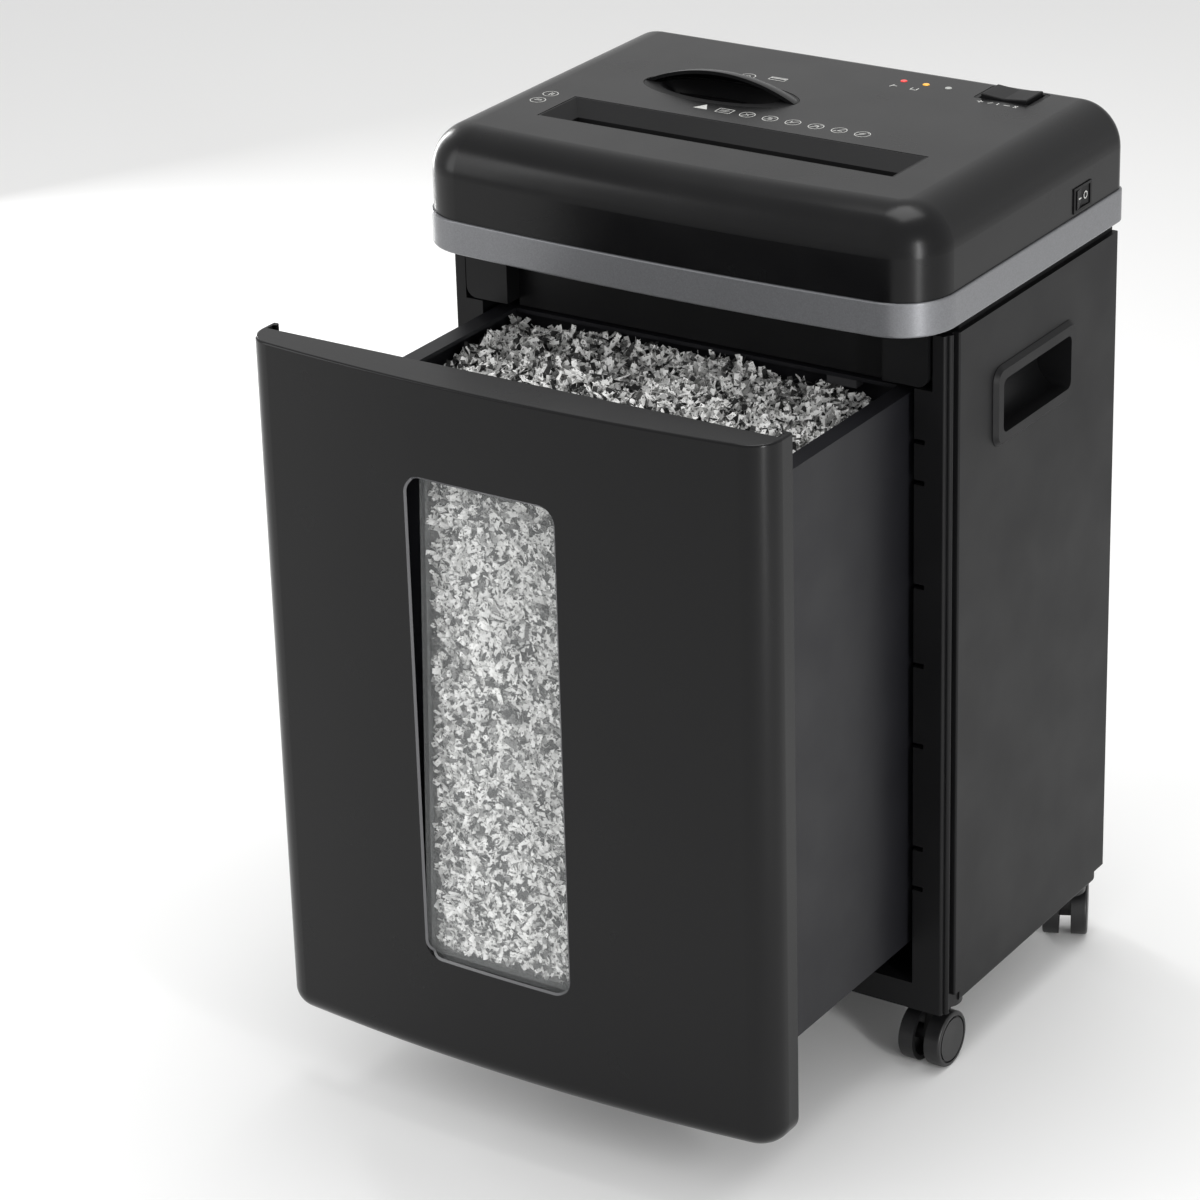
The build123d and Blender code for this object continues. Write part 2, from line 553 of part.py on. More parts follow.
with BuildPart() as lead_gland:
    with BuildSketch(Plane.XZ.offset(-(HEAD_BACK - 7.2))):
        with Locations((-120, 504)):
            Circle(5.8)
            Circle(3.6, mode=Mode.SUBTRACT)
    extrude(amount=-2.7)
finish(lead_gland, "lead_gland")

# ---------------------------------------------------------------- head: entries and controls
THROAT_DEPTH = 7.4
THROAT_LOW = 549.0
NIP_Y = CUTTER_FRONT + CUTTER_SPACING / 2

with BuildPart() as paper_throat:
    box_between(-SLOT_HALF + 0.3, SLOT_HALF - 0.3, SLOT_FRONT + 0.3, SLOT_BACK - 0.3,
                THROAT_LOW, HEAD_TOP - 0.2)
    with BuildSketch(Plane.XY.offset(HEAD_TOP - 0.2)):
        with Locations((0, (SLOT_FRONT + 1.2 + SLOT_BACK - 1.2) / 2)):
            Rectangle(2 * SLOT_HALF - 3, SLOT_BACK - SLOT_FRONT - 2.4)
    with BuildSketch(Plane.XY.offset(HEAD_TOP - THROAT_DEPTH)):
        with Locations((0, FRONT + 40.5)):
            Rectangle(223, 23)
    loft(mode=Mode.SUBTRACT)
    with BuildSketch(Plane.XY.offset(HEAD_TOP - THROAT_DEPTH + 0.01)):
        with Locations((0, FRONT + 40.5)):
            Rectangle(223, 23)
    with BuildSketch(Plane.XY.offset(THROAT_LOW - 0.01)):
        with Locations((0, NIP_Y)):
            Rectangle(222, 8)
    loft(mode=Mode.SUBTRACT)
finish(paper_throat, "paper_throat")

SLIT_HALF = 46.0
with BuildPart() as card_throat:
    with BuildSketch(Plane.XY.offset(HEAD_TOP - 0.2)):
        with Locations((COWL_X, COWL_Y + 2)):
            Ellipse(COWL_HALF - 0.3, 23.7)
    extrude(amount=-11)
    # dished lead-in before the mouth
    with BuildSketch(Plane.XY.offset(HEAD_TOP + 0.5)):
        with Locations((COWL_X, COWL_Y + 1)):
            Ellipse(SLIT_HALF - 4, 19)
    with BuildSketch(Plane.XY.offset(HEAD_TOP - 7)):
        with Locations((COWL_X, COWL_Y + 4)):
            Ellipse(SLIT_HALF - 12, 5)
    loft(mode=Mode.SUBTRACT)
    box_between(COWL_X - 32, COWL_X + 32, COWL_Y + 1, COWL_Y + 6, HEAD_TOP - 12, HEAD_TOP - 4,
                mode=Mode.SUBTRACT)
finish(card_throat, "card_throat")

COWL_RISE = 12.4
COWL_REACH = 24.0
COWL_TIP = COWL_HALF - 0.8       # the cowl's tips stay inside the cover's opening
COWL_RADIUS = (COWL_TIP ** 2 + COWL_RISE ** 2) / (2 * COWL_RISE)
COWL_SQUASH = COWL_REACH / COWL_TIP


def cowl_body(shrink):
    """Spherical cap over the slot, squashed front to back, its crown on the mouth's plane."""
    ball = Pos(0, 0, COWL_RISE - COWL_RADIUS) * Sphere(COWL_RADIUS - shrink)
    ball = ball & (Pos(0, 100, 100) * Box(400, 200, 200))
    return Pos(COWL_X, COWL_Y, HEAD_TOP) * scale(ball, by=(1, COWL_SQUASH, 1))


cowl_outside = cowl_body(0)
cowl_inside = cowl_body(2.2)
with BuildPart() as card_cowl:
    add(cowl_outside)
    add(cowl_inside, mode=Mode.SUBTRACT)
finish(card_cowl, "card_cowl")

for x, name in zip(LED_XS, LED_NAMES):
    with BuildPart() as lens:
        with BuildSketch(Plane.XY.offset(HEAD_TOP - 6)):
            with Locations((x, LED_Y)):
                Circle(LED_RADIUS)
        extrude(amount=6.4)
        fillet(lens.faces().sort_by(Axis.Z)[-1].edges(), 0.6)
    finish(lens, name)

# Function rocker: forward, standby, reverse
ROCKER_PIVOT_Z = HEAD_TOP - 6.0

with BuildPart() as function_switch_well:
    with BuildSketch(Plane.XY.offset(HEAD_TOP - 14)):
        with Locations((ROCKER_X, ROCKER_Y)):
            RectangleRounded(2 * ROCKER_HALF_X - 0.4, 2 * ROCKER_HALF_Y - 0.4, 2.8)
    extrude(amount=13.8)
    box_between(ROCKER_X - 17, ROCKER_X + 17, ROCKER_Y - 11.5, ROCKER_Y + 11.5,
                HEAD_TOP - 12, HEAD_TOP + 1, mode=Mode.SUBTRACT)
finish(function_switch_well, "function_switch_well")

with BuildPart() as function_rocker:
    with BuildSketch(Plane.XZ.offset(-(ROCKER_Y - 10.8))):
        with BuildLine():
            Polyline((ROCKER_X - 15.4, HEAD_TOP - 5), (ROCKER_X - 15.4, HEAD_TOP + 2.6),
                     (ROCKER_X, HEAD_TOP + 1.2), (ROCKER_X + 15.4, HEAD_TOP + 2.6),
                     (ROCKER_X + 15.4, HEAD_TOP - 5), (ROCKER_X, HEAD_TOP - 9.5), close=True)
        make_face()
    extrude(amount=-21.6)
    fillet(function_rocker.edges().filter_by(lambda edge: edge.center().Z > HEAD_TOP + 0.5), 0.8)
finish(function_rocker, "function_rocker")

# Power rocker on the right side
POWER_FACE = HEAD_HALF - 1.5
with BuildPart() as power_switch_body:
    box_between(POWER_FACE - 16, POWER_FACE + 0.8, POWER_Y - POWER_HALF_Y + 0.2, POWER_Y + POWER_HALF_Y - 0.2,
                POWER_Z - POWER_HALF_Z + 0.2, POWER_Z + POWER_HALF_Z - 0.2)
    box_between(POWER_FACE - 12, POWER_FACE + 2, POWER_Y - 9.4, POWER_Y + 9.4,
                POWER_Z - 6.2, POWER_Z + 6.2, mode=Mode.SUBTRACT)
finish(power_switch_body, "power_switch_body")

with BuildPart() as power_rocker:
    with BuildSketch(Plane.XY.offset(POWER_Z - 5.8)):
        with BuildLine():
            Polyline((POWER_FACE - 4, POWER_Y - 8.3), (POWER_FACE + 1.4, POWER_Y - 8.3),
                     (POWER_FACE - 0.4, POWER_Y), (POWER_FACE + 0.2, POWER_Y + 8.3),
                     (POWER_FACE - 4, POWER_Y + 8.3), (POWER_FACE - 8, POWER_Y), close=True)
        make_face()
    extrude(amount=11.6)
finish(power_rocker, "power_rocker")

# ---------------------------------------------------------------- cutting unit
PLATE_X = 118.0              # inner face of the side plates
PLATE_THICK = 3.0
PLATE_LOW = FLOOR_TOP
PLATE_HIGH = 545.0
HEX_FLATS = 12.0
SLEEVE_RADIUS = 10.5
DISC_THICK = 3.8
NOTCHES = 6
SYNC_MODULE = 1.5
SYNC_TEETH = 20
DRIVE_MODULE = 1.25
DRIVE_TEETH = 36
IDLER_SMALL_TEETH = 12
IDLER_LARGE_TEETH = 44
PINION_TEETH = 11
FINE_MODULE = 1.0
IDLER_Y = CUTTER_REAR + DRIVE_MODULE * (DRIVE_TEETH + IDLER_SMALL_TEETH) / 2
MOTOR_Y = IDLER_Y + FINE_MODULE * (IDLER_LARGE_TEETH + PINION_TEETH) / 2
MOTOR_RADIUS = 25.0
IDLER_PIN = 4.0
SYNC_X = 124.0
DRIVE_X = 133.5
IDLER_X = 143.5


def gear_face(teeth, module, tooth_at, bore):
    """Gear outline with straight-flanked teeth; tooth_at is the angle of one tooth's middle."""
    pitch_radius = module * teeth / 2
    root = pitch_radius - 1.25 * module
    tip = pitch_radius + 0.9 * module
    half_pitch = pi * module / 4 - 0.14 * module
    half_root = half_pitch + 1.25 * module * tan(radians(18))
    half_tip = half_pitch - 0.9 * module * tan(radians(24))
    outline = []
    for tooth in range(teeth):
        middle = radians(tooth_at + 360 * tooth / teeth)
        for radius, half in ((root, -half_root), (tip, -half_tip), (tip, half_tip), (root, half_root)):
            angle = middle + half / radius
            outline.append((radius * cos(angle), radius * sin(angle)))
    with BuildSketch() as face:
        with BuildLine():
            Polyline(*outline, close=True)
        make_face()
        Circle(bore, mode=Mode.SUBTRACT)
    return face.sketch


def cutting_roll(y, first_x, notch_turn):
    """Sleeve with notched discs along a hexagonal shaft; neighbouring rolls interleave."""
    with BuildPart() as roll:
        with BuildSketch(side_sketch_plane(-PLATE_X + 3)):
            with Locations((y, CUTTER_Z)):
                Circle(SLEEVE_RADIUS)
                RegularPolygon(HEX_FLATS / 2 + 0.02, 6, major_radius=False, mode=Mode.SUBTRACT)
        extrude(amount=2 * PLATE_X - 6)
        for index in range(DISC_COUNT):
            with BuildSketch(side_sketch_plane(first_x + index * DISC_PITCH - DISC_THICK / 2)):
                with Locations((y, CUTTER_Z)):
                    Circle(DISC_RADIUS)
                    Circle(SLEEVE_RADIUS - 0.5, mode=Mode.SUBTRACT)
                    with PolarLocations(DISC_RADIUS, NOTCHES, start_angle=notch_turn + index * 9):
                        Rectangle(3.2, 3.2, mode=Mode.SUBTRACT)
            extrude(amount=DISC_THICK)
    return roll


def cutter_shaft(y):
    """Hexagonal bar with a round journal at each end, the right one long enough for its gears."""
    with BuildPart() as shaft:
        with BuildSketch(side_sketch_plane(-PLATE_X + 1)):
            with Locations((y, CUTTER_Z)):
                RegularPolygon(HEX_FLATS / 2, 6, major_radius=False)
        extrude(amount=2 * PLATE_X - 2)
        with BuildSketch(side_sketch_plane(-PLATE_X - 6)):
            with Locations((y, CUTTER_Z)):
                Circle(JOURNAL)
        extrude(amount=2 * PLATE_X + 28)
    return shaft


FIRST_DISC = -110.0
for y, name, first_x, turn in ((CUTTER_FRONT, "front", FIRST_DISC, 0),
                               (CUTTER_REAR, "rear", FIRST_DISC + DISC_PITCH / 2, 30)):
    finish(cutter_shaft(y), "cutter_shaft_" + name)
    finish(cutting_roll(y, first_x, turn), "cutting_roll_" + name)

for sign, y, name, start in ((-1, CUTTER_FRONT, "front", FIRST_DISC),
                             (1, CUTTER_REAR, "rear", FIRST_DISC + DISC_PITCH / 2)):
    with BuildPart() as comb:
        # spine outside the roll, one finger in each gap between its discs
        spine = y + sign * (DISC_RADIUS + 2)
        box_between(-PLATE_X + 0.2, PLATE_X - 0.2, min(spine - 1.5, spine + 1.5),
                    max(spine - 1.5, spine + 1.5), CUTTER_Z - 8, CUTTER_Z + 8)
        for index in range(DISC_COUNT - 1):
            x = start + (index + 0.5) * DISC_PITCH
            near = y + sign * (SLEEVE_RADIUS + 0.6)
            box_between(x - 1.5, x + 1.5, min(near, spine), max(near, spine), CUTTER_Z - 4, CUTTER_Z + 4)
    finish(comb, "stripper_comb_" + name)

for side, name in ((-1, "left"), (1, "right")):
    inner = side * PLATE_X
    reach = CUTTER_REAR + 22 if side < 0 else MOTOR_Y + 30
    with BuildPart() as plate:
        with BuildSketch(side_sketch_plane(inner)):
            with Locations(((FRONT + 8.5 + reach) / 2, (PLATE_LOW + PLATE_HIGH) / 2)):
                RectangleRounded(reach - FRONT - 8.5, PLATE_HIGH - PLATE_LOW, 5)
            with Locations((CUTTER_FRONT, CUTTER_Z), (CUTTER_REAR, CUTTER_Z)):
                Circle(8, mode=Mode.SUBTRACT)
            if side > 0:
                with Locations((IDLER_Y, CUTTER_Z)):
                    Circle(IDLER_PIN, mode=Mode.SUBTRACT)
                with Locations((MOTOR_Y, CUTTER_Z)):
                    Circle(9, mode=Mode.SUBTRACT)
                with Locations((MOTOR_Y, CUTTER_Z + 18), (MOTOR_Y, CUTTER_Z - 18)):
                    Circle(1.6, mode=Mode.SUBTRACT)
        extrude(amount=side * PLATE_THICK)
    finish(plate, "cutter_plate_" + name)

with BuildPart() as shaft_bushes:
    for side in (-1, 1):
        for y in (CUTTER_FRONT, CUTTER_REAR):
            with BuildSketch(side_sketch_plane(side * PLATE_X)):
                with Locations((y, CUTTER_Z)):
                    Circle(8)
                    Circle(JOURNAL + RUNNING, mode=Mode.SUBTRACT)
            extrude(amount=side * (PLATE_THICK + 1.5))
finish(shaft_bushes, "shaft_bushes")

with BuildPart() as tie_rods:
    for y, z in ((FRONT + 13, 501.5), (CUTTER_REAR + 17, 501.5), (CUTTER_REAR + 17, 541.0)):
        with BuildSketch(side_sketch_plane(-PLATE_X)):
            with Locations((y, z)):
                Circle(2.5)
        extrude(amount=2 * PLATE_X)
finish(tie_rods, "tie_rods")


# a tooth of one gear points at its partner, which has a gap there
SYNC_GAP = 180 + 180 / SYNC_TEETH
for name, y, x, width, teeth, module, tooth_at in (
        ("sync_gear_front", CUTTER_FRONT, SYNC_X, 8, SYNC_TEETH, SYNC_MODULE, 0),
        ("sync_gear_rear", CUTTER_REAR, SYNC_X, 8, SYNC_TEETH, SYNC_MODULE, SYNC_GAP),
        ("drive_gear", CUTTER_REAR, DRIVE_X, 6.3, DRIVE_TEETH, DRIVE_MODULE, 0)):
    with BuildPart() as gear:
        with BuildSketch(side_sketch_plane(x)):
            with Locations((y, CUTTER_Z)):
                add(gear_face(teeth, module, tooth_at, JOURNAL))
        extrude(amount=width)
    finish(gear, name)

with BuildPart() as idler_gear:
    with BuildSketch(side_sketch_plane(DRIVE_X - 1)):
        with Locations((IDLER_Y, CUTTER_Z)):
            add(gear_face(IDLER_SMALL_TEETH, DRIVE_MODULE, 180 + 180 / IDLER_SMALL_TEETH,
                          IDLER_PIN + RUNNING))
    extrude(amount=IDLER_X - DRIVE_X + 1)
    with BuildSketch(side_sketch_plane(IDLER_X)):
        with Locations((IDLER_Y, CUTTER_Z)):
            add(gear_face(IDLER_LARGE_TEETH, FINE_MODULE, 0, IDLER_PIN + RUNNING))
    extrude(amount=6)
finish(idler_gear, "idler_gear")

with BuildPart() as idler_pin:
    with BuildSketch(side_sketch_plane(PLATE_X)):
        with Locations((IDLER_Y, CUTTER_Z)):
            Circle(IDLER_PIN)
    extrude(amount=IDLER_X + 7.5 - PLATE_X)
    with BuildSketch(side_sketch_plane(PLATE_X + PLATE_THICK)):
        with Locations((IDLER_Y, CUTTER_Z)):
            Circle(6)
    extrude(amount=DRIVE_X - 2 - PLATE_X - PLATE_THICK)
finish(idler_pin, "idler_pin")

with BuildPart() as motor:
    with BuildSketch(side_sketch_plane(PLATE_X - 88)):
        with Locations((MOTOR_Y, CUTTER_Z)):
            Circle(MOTOR_RADIUS)
    extrude(amount=88)
    fillet(motor.edges().filter_by(GeomType.CIRCLE).group_by(Axis.X)[0], 4)
    with BuildSketch(side_sketch_plane(PLATE_X - 40)):
        with Locations((MOTOR_Y, CUTTER_Z)):
            Circle(2.5 + RUNNING)
    extrude(amount=41, mode=Mode.SUBTRACT)
    with BuildSketch(side_sketch_plane(PLATE_X - 12)):
        with Locations((MOTOR_Y, CUTTER_Z + 18), (MOTOR_Y, CUTTER_Z - 18)):
            Circle(1.6)
    extrude(amount=13, mode=Mode.SUBTRACT)
finish(motor, "motor")

with BuildPart() as motor_pinion:
    with BuildSketch(side_sketch_plane(PLATE_X - 38)):
        with Locations((MOTOR_Y, CUTTER_Z)):
            Circle(2.5)
    extrude(amount=IDLER_X + 7 - PLATE_X + 38)
    with BuildSketch(side_sketch_plane(IDLER_X - 1)):
        with Locations((MOTOR_Y, CUTTER_Z)):
            add(gear_face(PINION_TEETH, FINE_MODULE, 180 + 180 / PINION_TEETH, 1.0))
            Circle(2.6)
    extrude(amount=8)
finish(motor_pinion, "motor_pinion")

with BuildPart() as motor_screws:
    for z in (CUTTER_Z + 18, CUTTER_Z - 18):
        with BuildSketch(side_sketch_plane(PLATE_X - 9)):
            with Locations((MOTOR_Y, z)):
                Circle(1.5)
        extrude(amount=9 + PLATE_THICK)
        with BuildSketch(side_sketch_plane(PLATE_X + PLATE_THICK)):
            with Locations((MOTOR_Y, z)):
                Circle(2.9)
                Rectangle(0.8, 3.6, mode=Mode.SUBTRACT)
        extrude(amount=2.2)
finish(motor_screws, "motor_screws")

# ---------------------------------------------------------------- electrics
with BuildPart() as control_board:
    box_between(-100, 20, FRONT + 165, FRONT + 205, 506, 507.6)
    box_between(-90, -62, FRONT + 172, FRONT + 196, 507.6, 526)
    box_between(-52, -34, FRONT + 176, FRONT + 194, 507.6, 522)
    for x in (-20, -8, 4):
        with BuildSketch(Plane.XY.offset(507.6)):
            with Locations((x, FRONT + 184)):
                Circle(4.5)
        extrude(amount=13)
    for x in (-96, 16):
        for y in (FRONT + 168, FRONT + 202):
            with BuildSketch(Plane.XY.offset(FLOOR_TOP)):
                with Locations((x, y)):
                    Circle(3)
            extrude(amount=10)
finish(control_board, "control_board")

with BuildPart() as paper_sensors:
    for y0, y1 in ((FRONT + 27, FRONT + 31), (FRONT + 59, FRONT + 63)):
        box_between(-4, 4, y0, y1, THROAT_LOW - 6, THROAT_LOW - 0.2)
finish(paper_sensors, "paper_sensors")

with BuildPart() as bin_sensor:
    box_between(84, 108, BIN_BACK + BIN_OUT - 13, BIN_BACK + BIN_OUT - 3, PANEL_TOP + 0.6, PANEL_TOP + 7)
finish(bin_sensor, "bin_sensor")
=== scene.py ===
import json
import random
from math import cos, pi, radians, sin

import bpy
from mathutils import Euler, Matrix, Vector, noise


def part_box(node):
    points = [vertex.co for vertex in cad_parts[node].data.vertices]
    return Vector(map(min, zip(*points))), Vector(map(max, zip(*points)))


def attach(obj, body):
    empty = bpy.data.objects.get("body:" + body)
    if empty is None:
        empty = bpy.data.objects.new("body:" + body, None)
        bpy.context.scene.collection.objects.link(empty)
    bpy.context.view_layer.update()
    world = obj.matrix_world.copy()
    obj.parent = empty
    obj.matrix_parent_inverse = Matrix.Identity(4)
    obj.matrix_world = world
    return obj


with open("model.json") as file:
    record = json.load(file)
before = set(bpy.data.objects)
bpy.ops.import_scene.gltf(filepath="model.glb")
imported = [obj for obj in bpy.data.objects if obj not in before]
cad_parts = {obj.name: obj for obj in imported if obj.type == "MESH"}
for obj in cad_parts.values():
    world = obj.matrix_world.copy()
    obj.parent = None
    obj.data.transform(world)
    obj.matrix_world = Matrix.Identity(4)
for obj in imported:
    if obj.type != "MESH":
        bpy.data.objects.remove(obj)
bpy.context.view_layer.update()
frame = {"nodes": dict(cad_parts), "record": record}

bl_info = {
    "name": "Paper shredder looks",
    "version": (1, 0, 0),
    "blender": (4, 5, 0),
    "location": "3D View > Sidebar > Shredder",
    "description": "Finishes, printed symbols, shredded paper and a studio for the paper shredder",
    "category": "Object",
}

MM = 0.001
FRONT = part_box("front_frame")[0][1]          # front plane of the cabinet
HEAD_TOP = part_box("head_cover")[1][2]
BIN_LOW, BIN_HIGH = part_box("bin_shell")
LENS_LOW, LENS_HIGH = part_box("window_lens")
PANEL_LOW, PANEL_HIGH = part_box("bin_front_panel")
BIN_WALL = 2.5 * MM
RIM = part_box("bin_magnet")[1][2] + BIN_WALL  # the bin's rim, over the magnet under it
LENS_WALL = 2.0 * MM
LENS_LEAN = 15 * MM / (LENS_HIGH[2] - LENS_LOW[2])  # the window leans back this much for its height
LENS_SIDE = 2.5 * MM                         # how far the window reaches past its opening to each side
LENS_END = 1.5 * MM                          # and above and below it
WINDOW_CORNER = 11 * MM                      # radius of the opening's corners
PANEL_BOW = 11 * MM                          # how far the panel's face curves back at its ends
BIN_GAP = 0.6 * MM                           # between the paper and the bin's walls
WINDOW_GAP = 0.3 * MM                        # between the paper and the window's walls
INK_LIFT = 0.08 * MM                         # printed symbols stand this far off the head
FINE_STROKE = 0.6 * MM
BOLD_STROKE = 0.8 * MM


# ---------------------------------------------------------------- settings
class ShredderFinishes(bpy.types.PropertyGroup):
    """Colours of the main finishes, as sRGB hex values."""
    gloss_black: bpy.props.StringProperty(
        name="Gloss black", description="Colour of the head cover and the bin's front", default="#0b0b0c")
    satin_black: bpy.props.StringProperty(
        name="Satin black", description="Colour of the cabinet and the bin", default="#0f0f10")
    band_silver: bpy.props.StringProperty(
        name="Band silver", description="Colour of the painted band round the head", default="#7c7d80")
    symbol_white: bpy.props.StringProperty(
        name="Symbol white", description="Colour of the symbols printed on the head", default="#c9c9c6")


class ShredderPaper(bpy.types.PropertyGroup):
    """How the shredded paper lies in the bin."""
    heap_drop: bpy.props.FloatProperty(
        name="Heap drop", description="How far the paper's middle lies under the bin's rim",
        default=9 * MM, unit="LENGTH")
    heap_flakes: bpy.props.IntProperty(
        name="Heap flakes", description="Loose flakes on top of the heap", default=7600, min=0)
    window_flakes: bpy.props.IntProperty(
        name="Window flakes", description="Flakes that lie against the window", default=6400, min=0)
    flake_length: bpy.props.FloatProperty(
        name="Flake length", description="Length of a cut flake", default=9.5 * MM, unit="LENGTH")
    flake_width: bpy.props.FloatProperty(
        name="Flake width", description="Width of a cut flake", default=3.2 * MM, unit="LENGTH")
    seed: bpy.props.IntProperty(
        name="Seed", description="Starts the scatter of the flakes", default=7)


class ShredderStudio(bpy.types.PropertyGroup):
    """Where the camera stands and how bright the studio is."""
    azimuth: bpy.props.FloatProperty(
        name="Azimuth", description="Camera's turn to the right of the front",
        default=radians(33.7), subtype="ANGLE")
    elevation: bpy.props.FloatProperty(
        name="Elevation", description="Camera's height above the horizon",
        default=radians(24.2), subtype="ANGLE")
    roll: bpy.props.FloatProperty(
        name="Roll", description="Camera's tilt about its own axis", default=radians(-1.7), subtype="ANGLE")
    distance: bpy.props.FloatProperty(
        name="Distance", description="From the camera to the point it looks at",
        default=2650.5 * MM, unit="LENGTH")
    lens: bpy.props.FloatProperty(
        name="Lens", description="Focal length on a 36 mm sensor, in mm", default=128.1)
    backdrop: bpy.props.FloatProperty(
        name="Backdrop", description="Brightness of the air round the object", default=0.78)


# ---------------------------------------------------------------- helpers
def linear(hex_colour):
    """An sRGB hex value as linear RGBA."""
    channels = [int(hex_colour[i:i + 2], 16) / 255 for i in (1, 3, 5)]
    return [c / 12.92 if c <= 0.04045 else ((c + 0.055) / 1.055) ** 2.4 for c in channels] + [1.0]


def add_node(tree, kind, inputs=None, **settings):
    """Adds a node, sets its properties, and fills or links its inputs by name or number."""
    node = tree.nodes.new(kind)
    for name, value in settings.items():
        setattr(node, name, value)
    for name, value in (inputs or {}).items():
        if isinstance(value, bpy.types.NodeSocket):
            tree.links.new(value, node.inputs[name])
        else:
            node.inputs[name].default_value = value
    return node


def new_surface(name):
    """An empty node material with its output and object coordinates in metres."""
    material = bpy.data.materials.new(name)
    material.use_nodes = True
    tree = material.node_tree
    tree.nodes.clear()
    output = add_node(tree, "ShaderNodeOutputMaterial")
    place = add_node(tree, "ShaderNodeTexCoord").outputs["Object"]
    return material, tree, output, place


def finish_surface(tree, output, shader):
    """Links a shader to the material's output."""
    tree.links.new(shader.outputs[0], output.inputs["Surface"])


def ramp(tree, value, low, high, dark, light):
    """Maps low..high of a value to a number between dark and light."""
    node = add_node(tree, "ShaderNodeMapRange", {"Value": value, "From Min": low, "From Max": high,
                                                 "To Min": dark, "To Max": light})
    return node.outputs["Result"]


def grain_noise(tree, place, size_mm, detail=2.0):
    """Noise whose blobs are about size_mm across."""
    return add_node(tree, "ShaderNodeTexNoise", {"Vector": place, "Scale": 1 / (size_mm * MM),
                                                 "Detail": detail}).outputs["Fac"]


def moulded(name, colour, smooth, rough, grain_mm, grain_height_mm, **sockets):
    """A moulded plastic: one colour, a sheen that drifts, and a fine mould texture."""
    material, tree, output, place = new_surface(name)
    drift = grain_noise(tree, place, 45, 3.0)
    grain = grain_noise(tree, place, grain_mm)
    tint = add_node(tree, "ShaderNodeMix", {"Factor": drift, "A": linear(colour),
                                            "B": [c * 1.25 for c in linear(colour)[:3]] + [1.0]},
                    data_type="RGBA")
    bump = add_node(tree, "ShaderNodeBump", {"Height": grain, "Strength": 0.35,
                                             "Distance": grain_height_mm * MM})
    shader = add_node(tree, "ShaderNodeBsdfPrincipled",
                      {"Base Color": tint.outputs["Result"],
                       "Roughness": ramp(tree, drift, 0.3, 0.7, smooth, rough),
                       "Normal": bump.outputs["Normal"], "IOR": 1.5, **sockets})
    finish_surface(tree, output, shader)
    return material


def metal(name, colour, smooth, rough, streak_mm, **sockets):
    """A machined or plated metal with fine streaks along X."""
    material, tree, output, place = new_surface(name)
    stretched = add_node(tree, "ShaderNodeMapping", {"Vector": place, "Scale": (0.08, 1.0, 1.0)})
    streaks = grain_noise(tree, stretched.outputs["Vector"], streak_mm, 3.0)
    shade = add_node(tree, "ShaderNodeMix", {"Factor": streaks, "A": linear(colour),
                                             "B": [c * 0.72 for c in linear(colour)[:3]] + [1.0]},
                     data_type="RGBA")
    bump = add_node(tree, "ShaderNodeBump", {"Height": streaks, "Strength": 0.3, "Distance": 0.05 * MM})
    shader = add_node(tree, "ShaderNodeBsdfPrincipled",
                      {"Base Color": shade.outputs["Result"], "Metallic": 1.0,
                       "Roughness": ramp(tree, streaks, 0.3, 0.7, smooth, rough),
                       "Normal": bump.outputs["Normal"], **sockets})
    finish_surface(tree, output, shader)
    return material


# ---------------------------------------------------------------- materials
def polished_abs(finishes):
    """ABS from a polished mould: clear soft highlights with a faint orange-peel waver."""
    return moulded("polished_abs", finishes.gloss_black, 0.22, 0.28, 2.2, 0.02,
                    **{"Specular IOR Level": 0.24})


def etched_abs(finishes):
    """ABS from an etched mould: a dull even sheen, its 0.5 mm grain drawn at 1 mm so that it shows."""
    return moulded("etched_abs", finishes.satin_black, 0.40, 0.48, 1.0, 0.06,
                    **{"Specular IOR Level": 0.2})


def bin_polypropylene():
    """Polypropylene bin: waxy, a little greyer than the shells, with faint scuffs."""
    return moulded("moulded_polypropylene", "#17171a", 0.38, 0.48, 1.6, 0.05,
                    **{"Specular IOR Level": 0.24})


def silver_paint(finishes):
    """Metallic paint over ABS: tiny flakes that glitter, under a clear coat's soft highlight."""
    material, tree, output, place = new_surface("silver_flake_paint")
    flakes = add_node(tree, "ShaderNodeTexVoronoi", {"Vector": place, "Scale": 1 / (0.7 * MM)})
    colour = linear(finishes.band_silver)
    glitter = add_node(tree, "ShaderNodeMix", {"Factor": flakes.outputs["Color"], "A": colour,
                                               "B": [c * 0.8 for c in colour[:3]] + [1.0]},
                       data_type="RGBA")
    shader = add_node(tree, "ShaderNodeBsdfPrincipled",
                      {"Base Color": glitter.outputs["Result"], "Metallic": 0.55,
                       "Roughness": ramp(tree, flakes.outputs["Distance"], 0.0, 0.7, 0.30, 0.42),
                       "Coat Weight": 0.25, "Coat Roughness": 0.2})
    finish_surface(tree, output, shader)
    return material


def clear_polycarbonate():
    """Clear moulded polycarbonate: water-clear with sharp glints and slight flow ripples."""
    material, tree, output, place = new_surface("clear_polycarbonate")
    ripple = grain_noise(tree, place, 25)
    bump = add_node(tree, "ShaderNodeBump", {"Height": ripple, "Strength": 0.1, "Distance": 0.2 * MM})
    shader = add_node(tree, "ShaderNodeBsdfPrincipled",
                      {"Base Color": linear("#e8ebeb"), "Alpha": 0.1,
                       "Roughness": ramp(tree, ripple, 0.3, 0.7, 0.03, 0.08),
                       "Normal": bump.outputs["Normal"]})
    finish_surface(tree, output, shader)
    return material


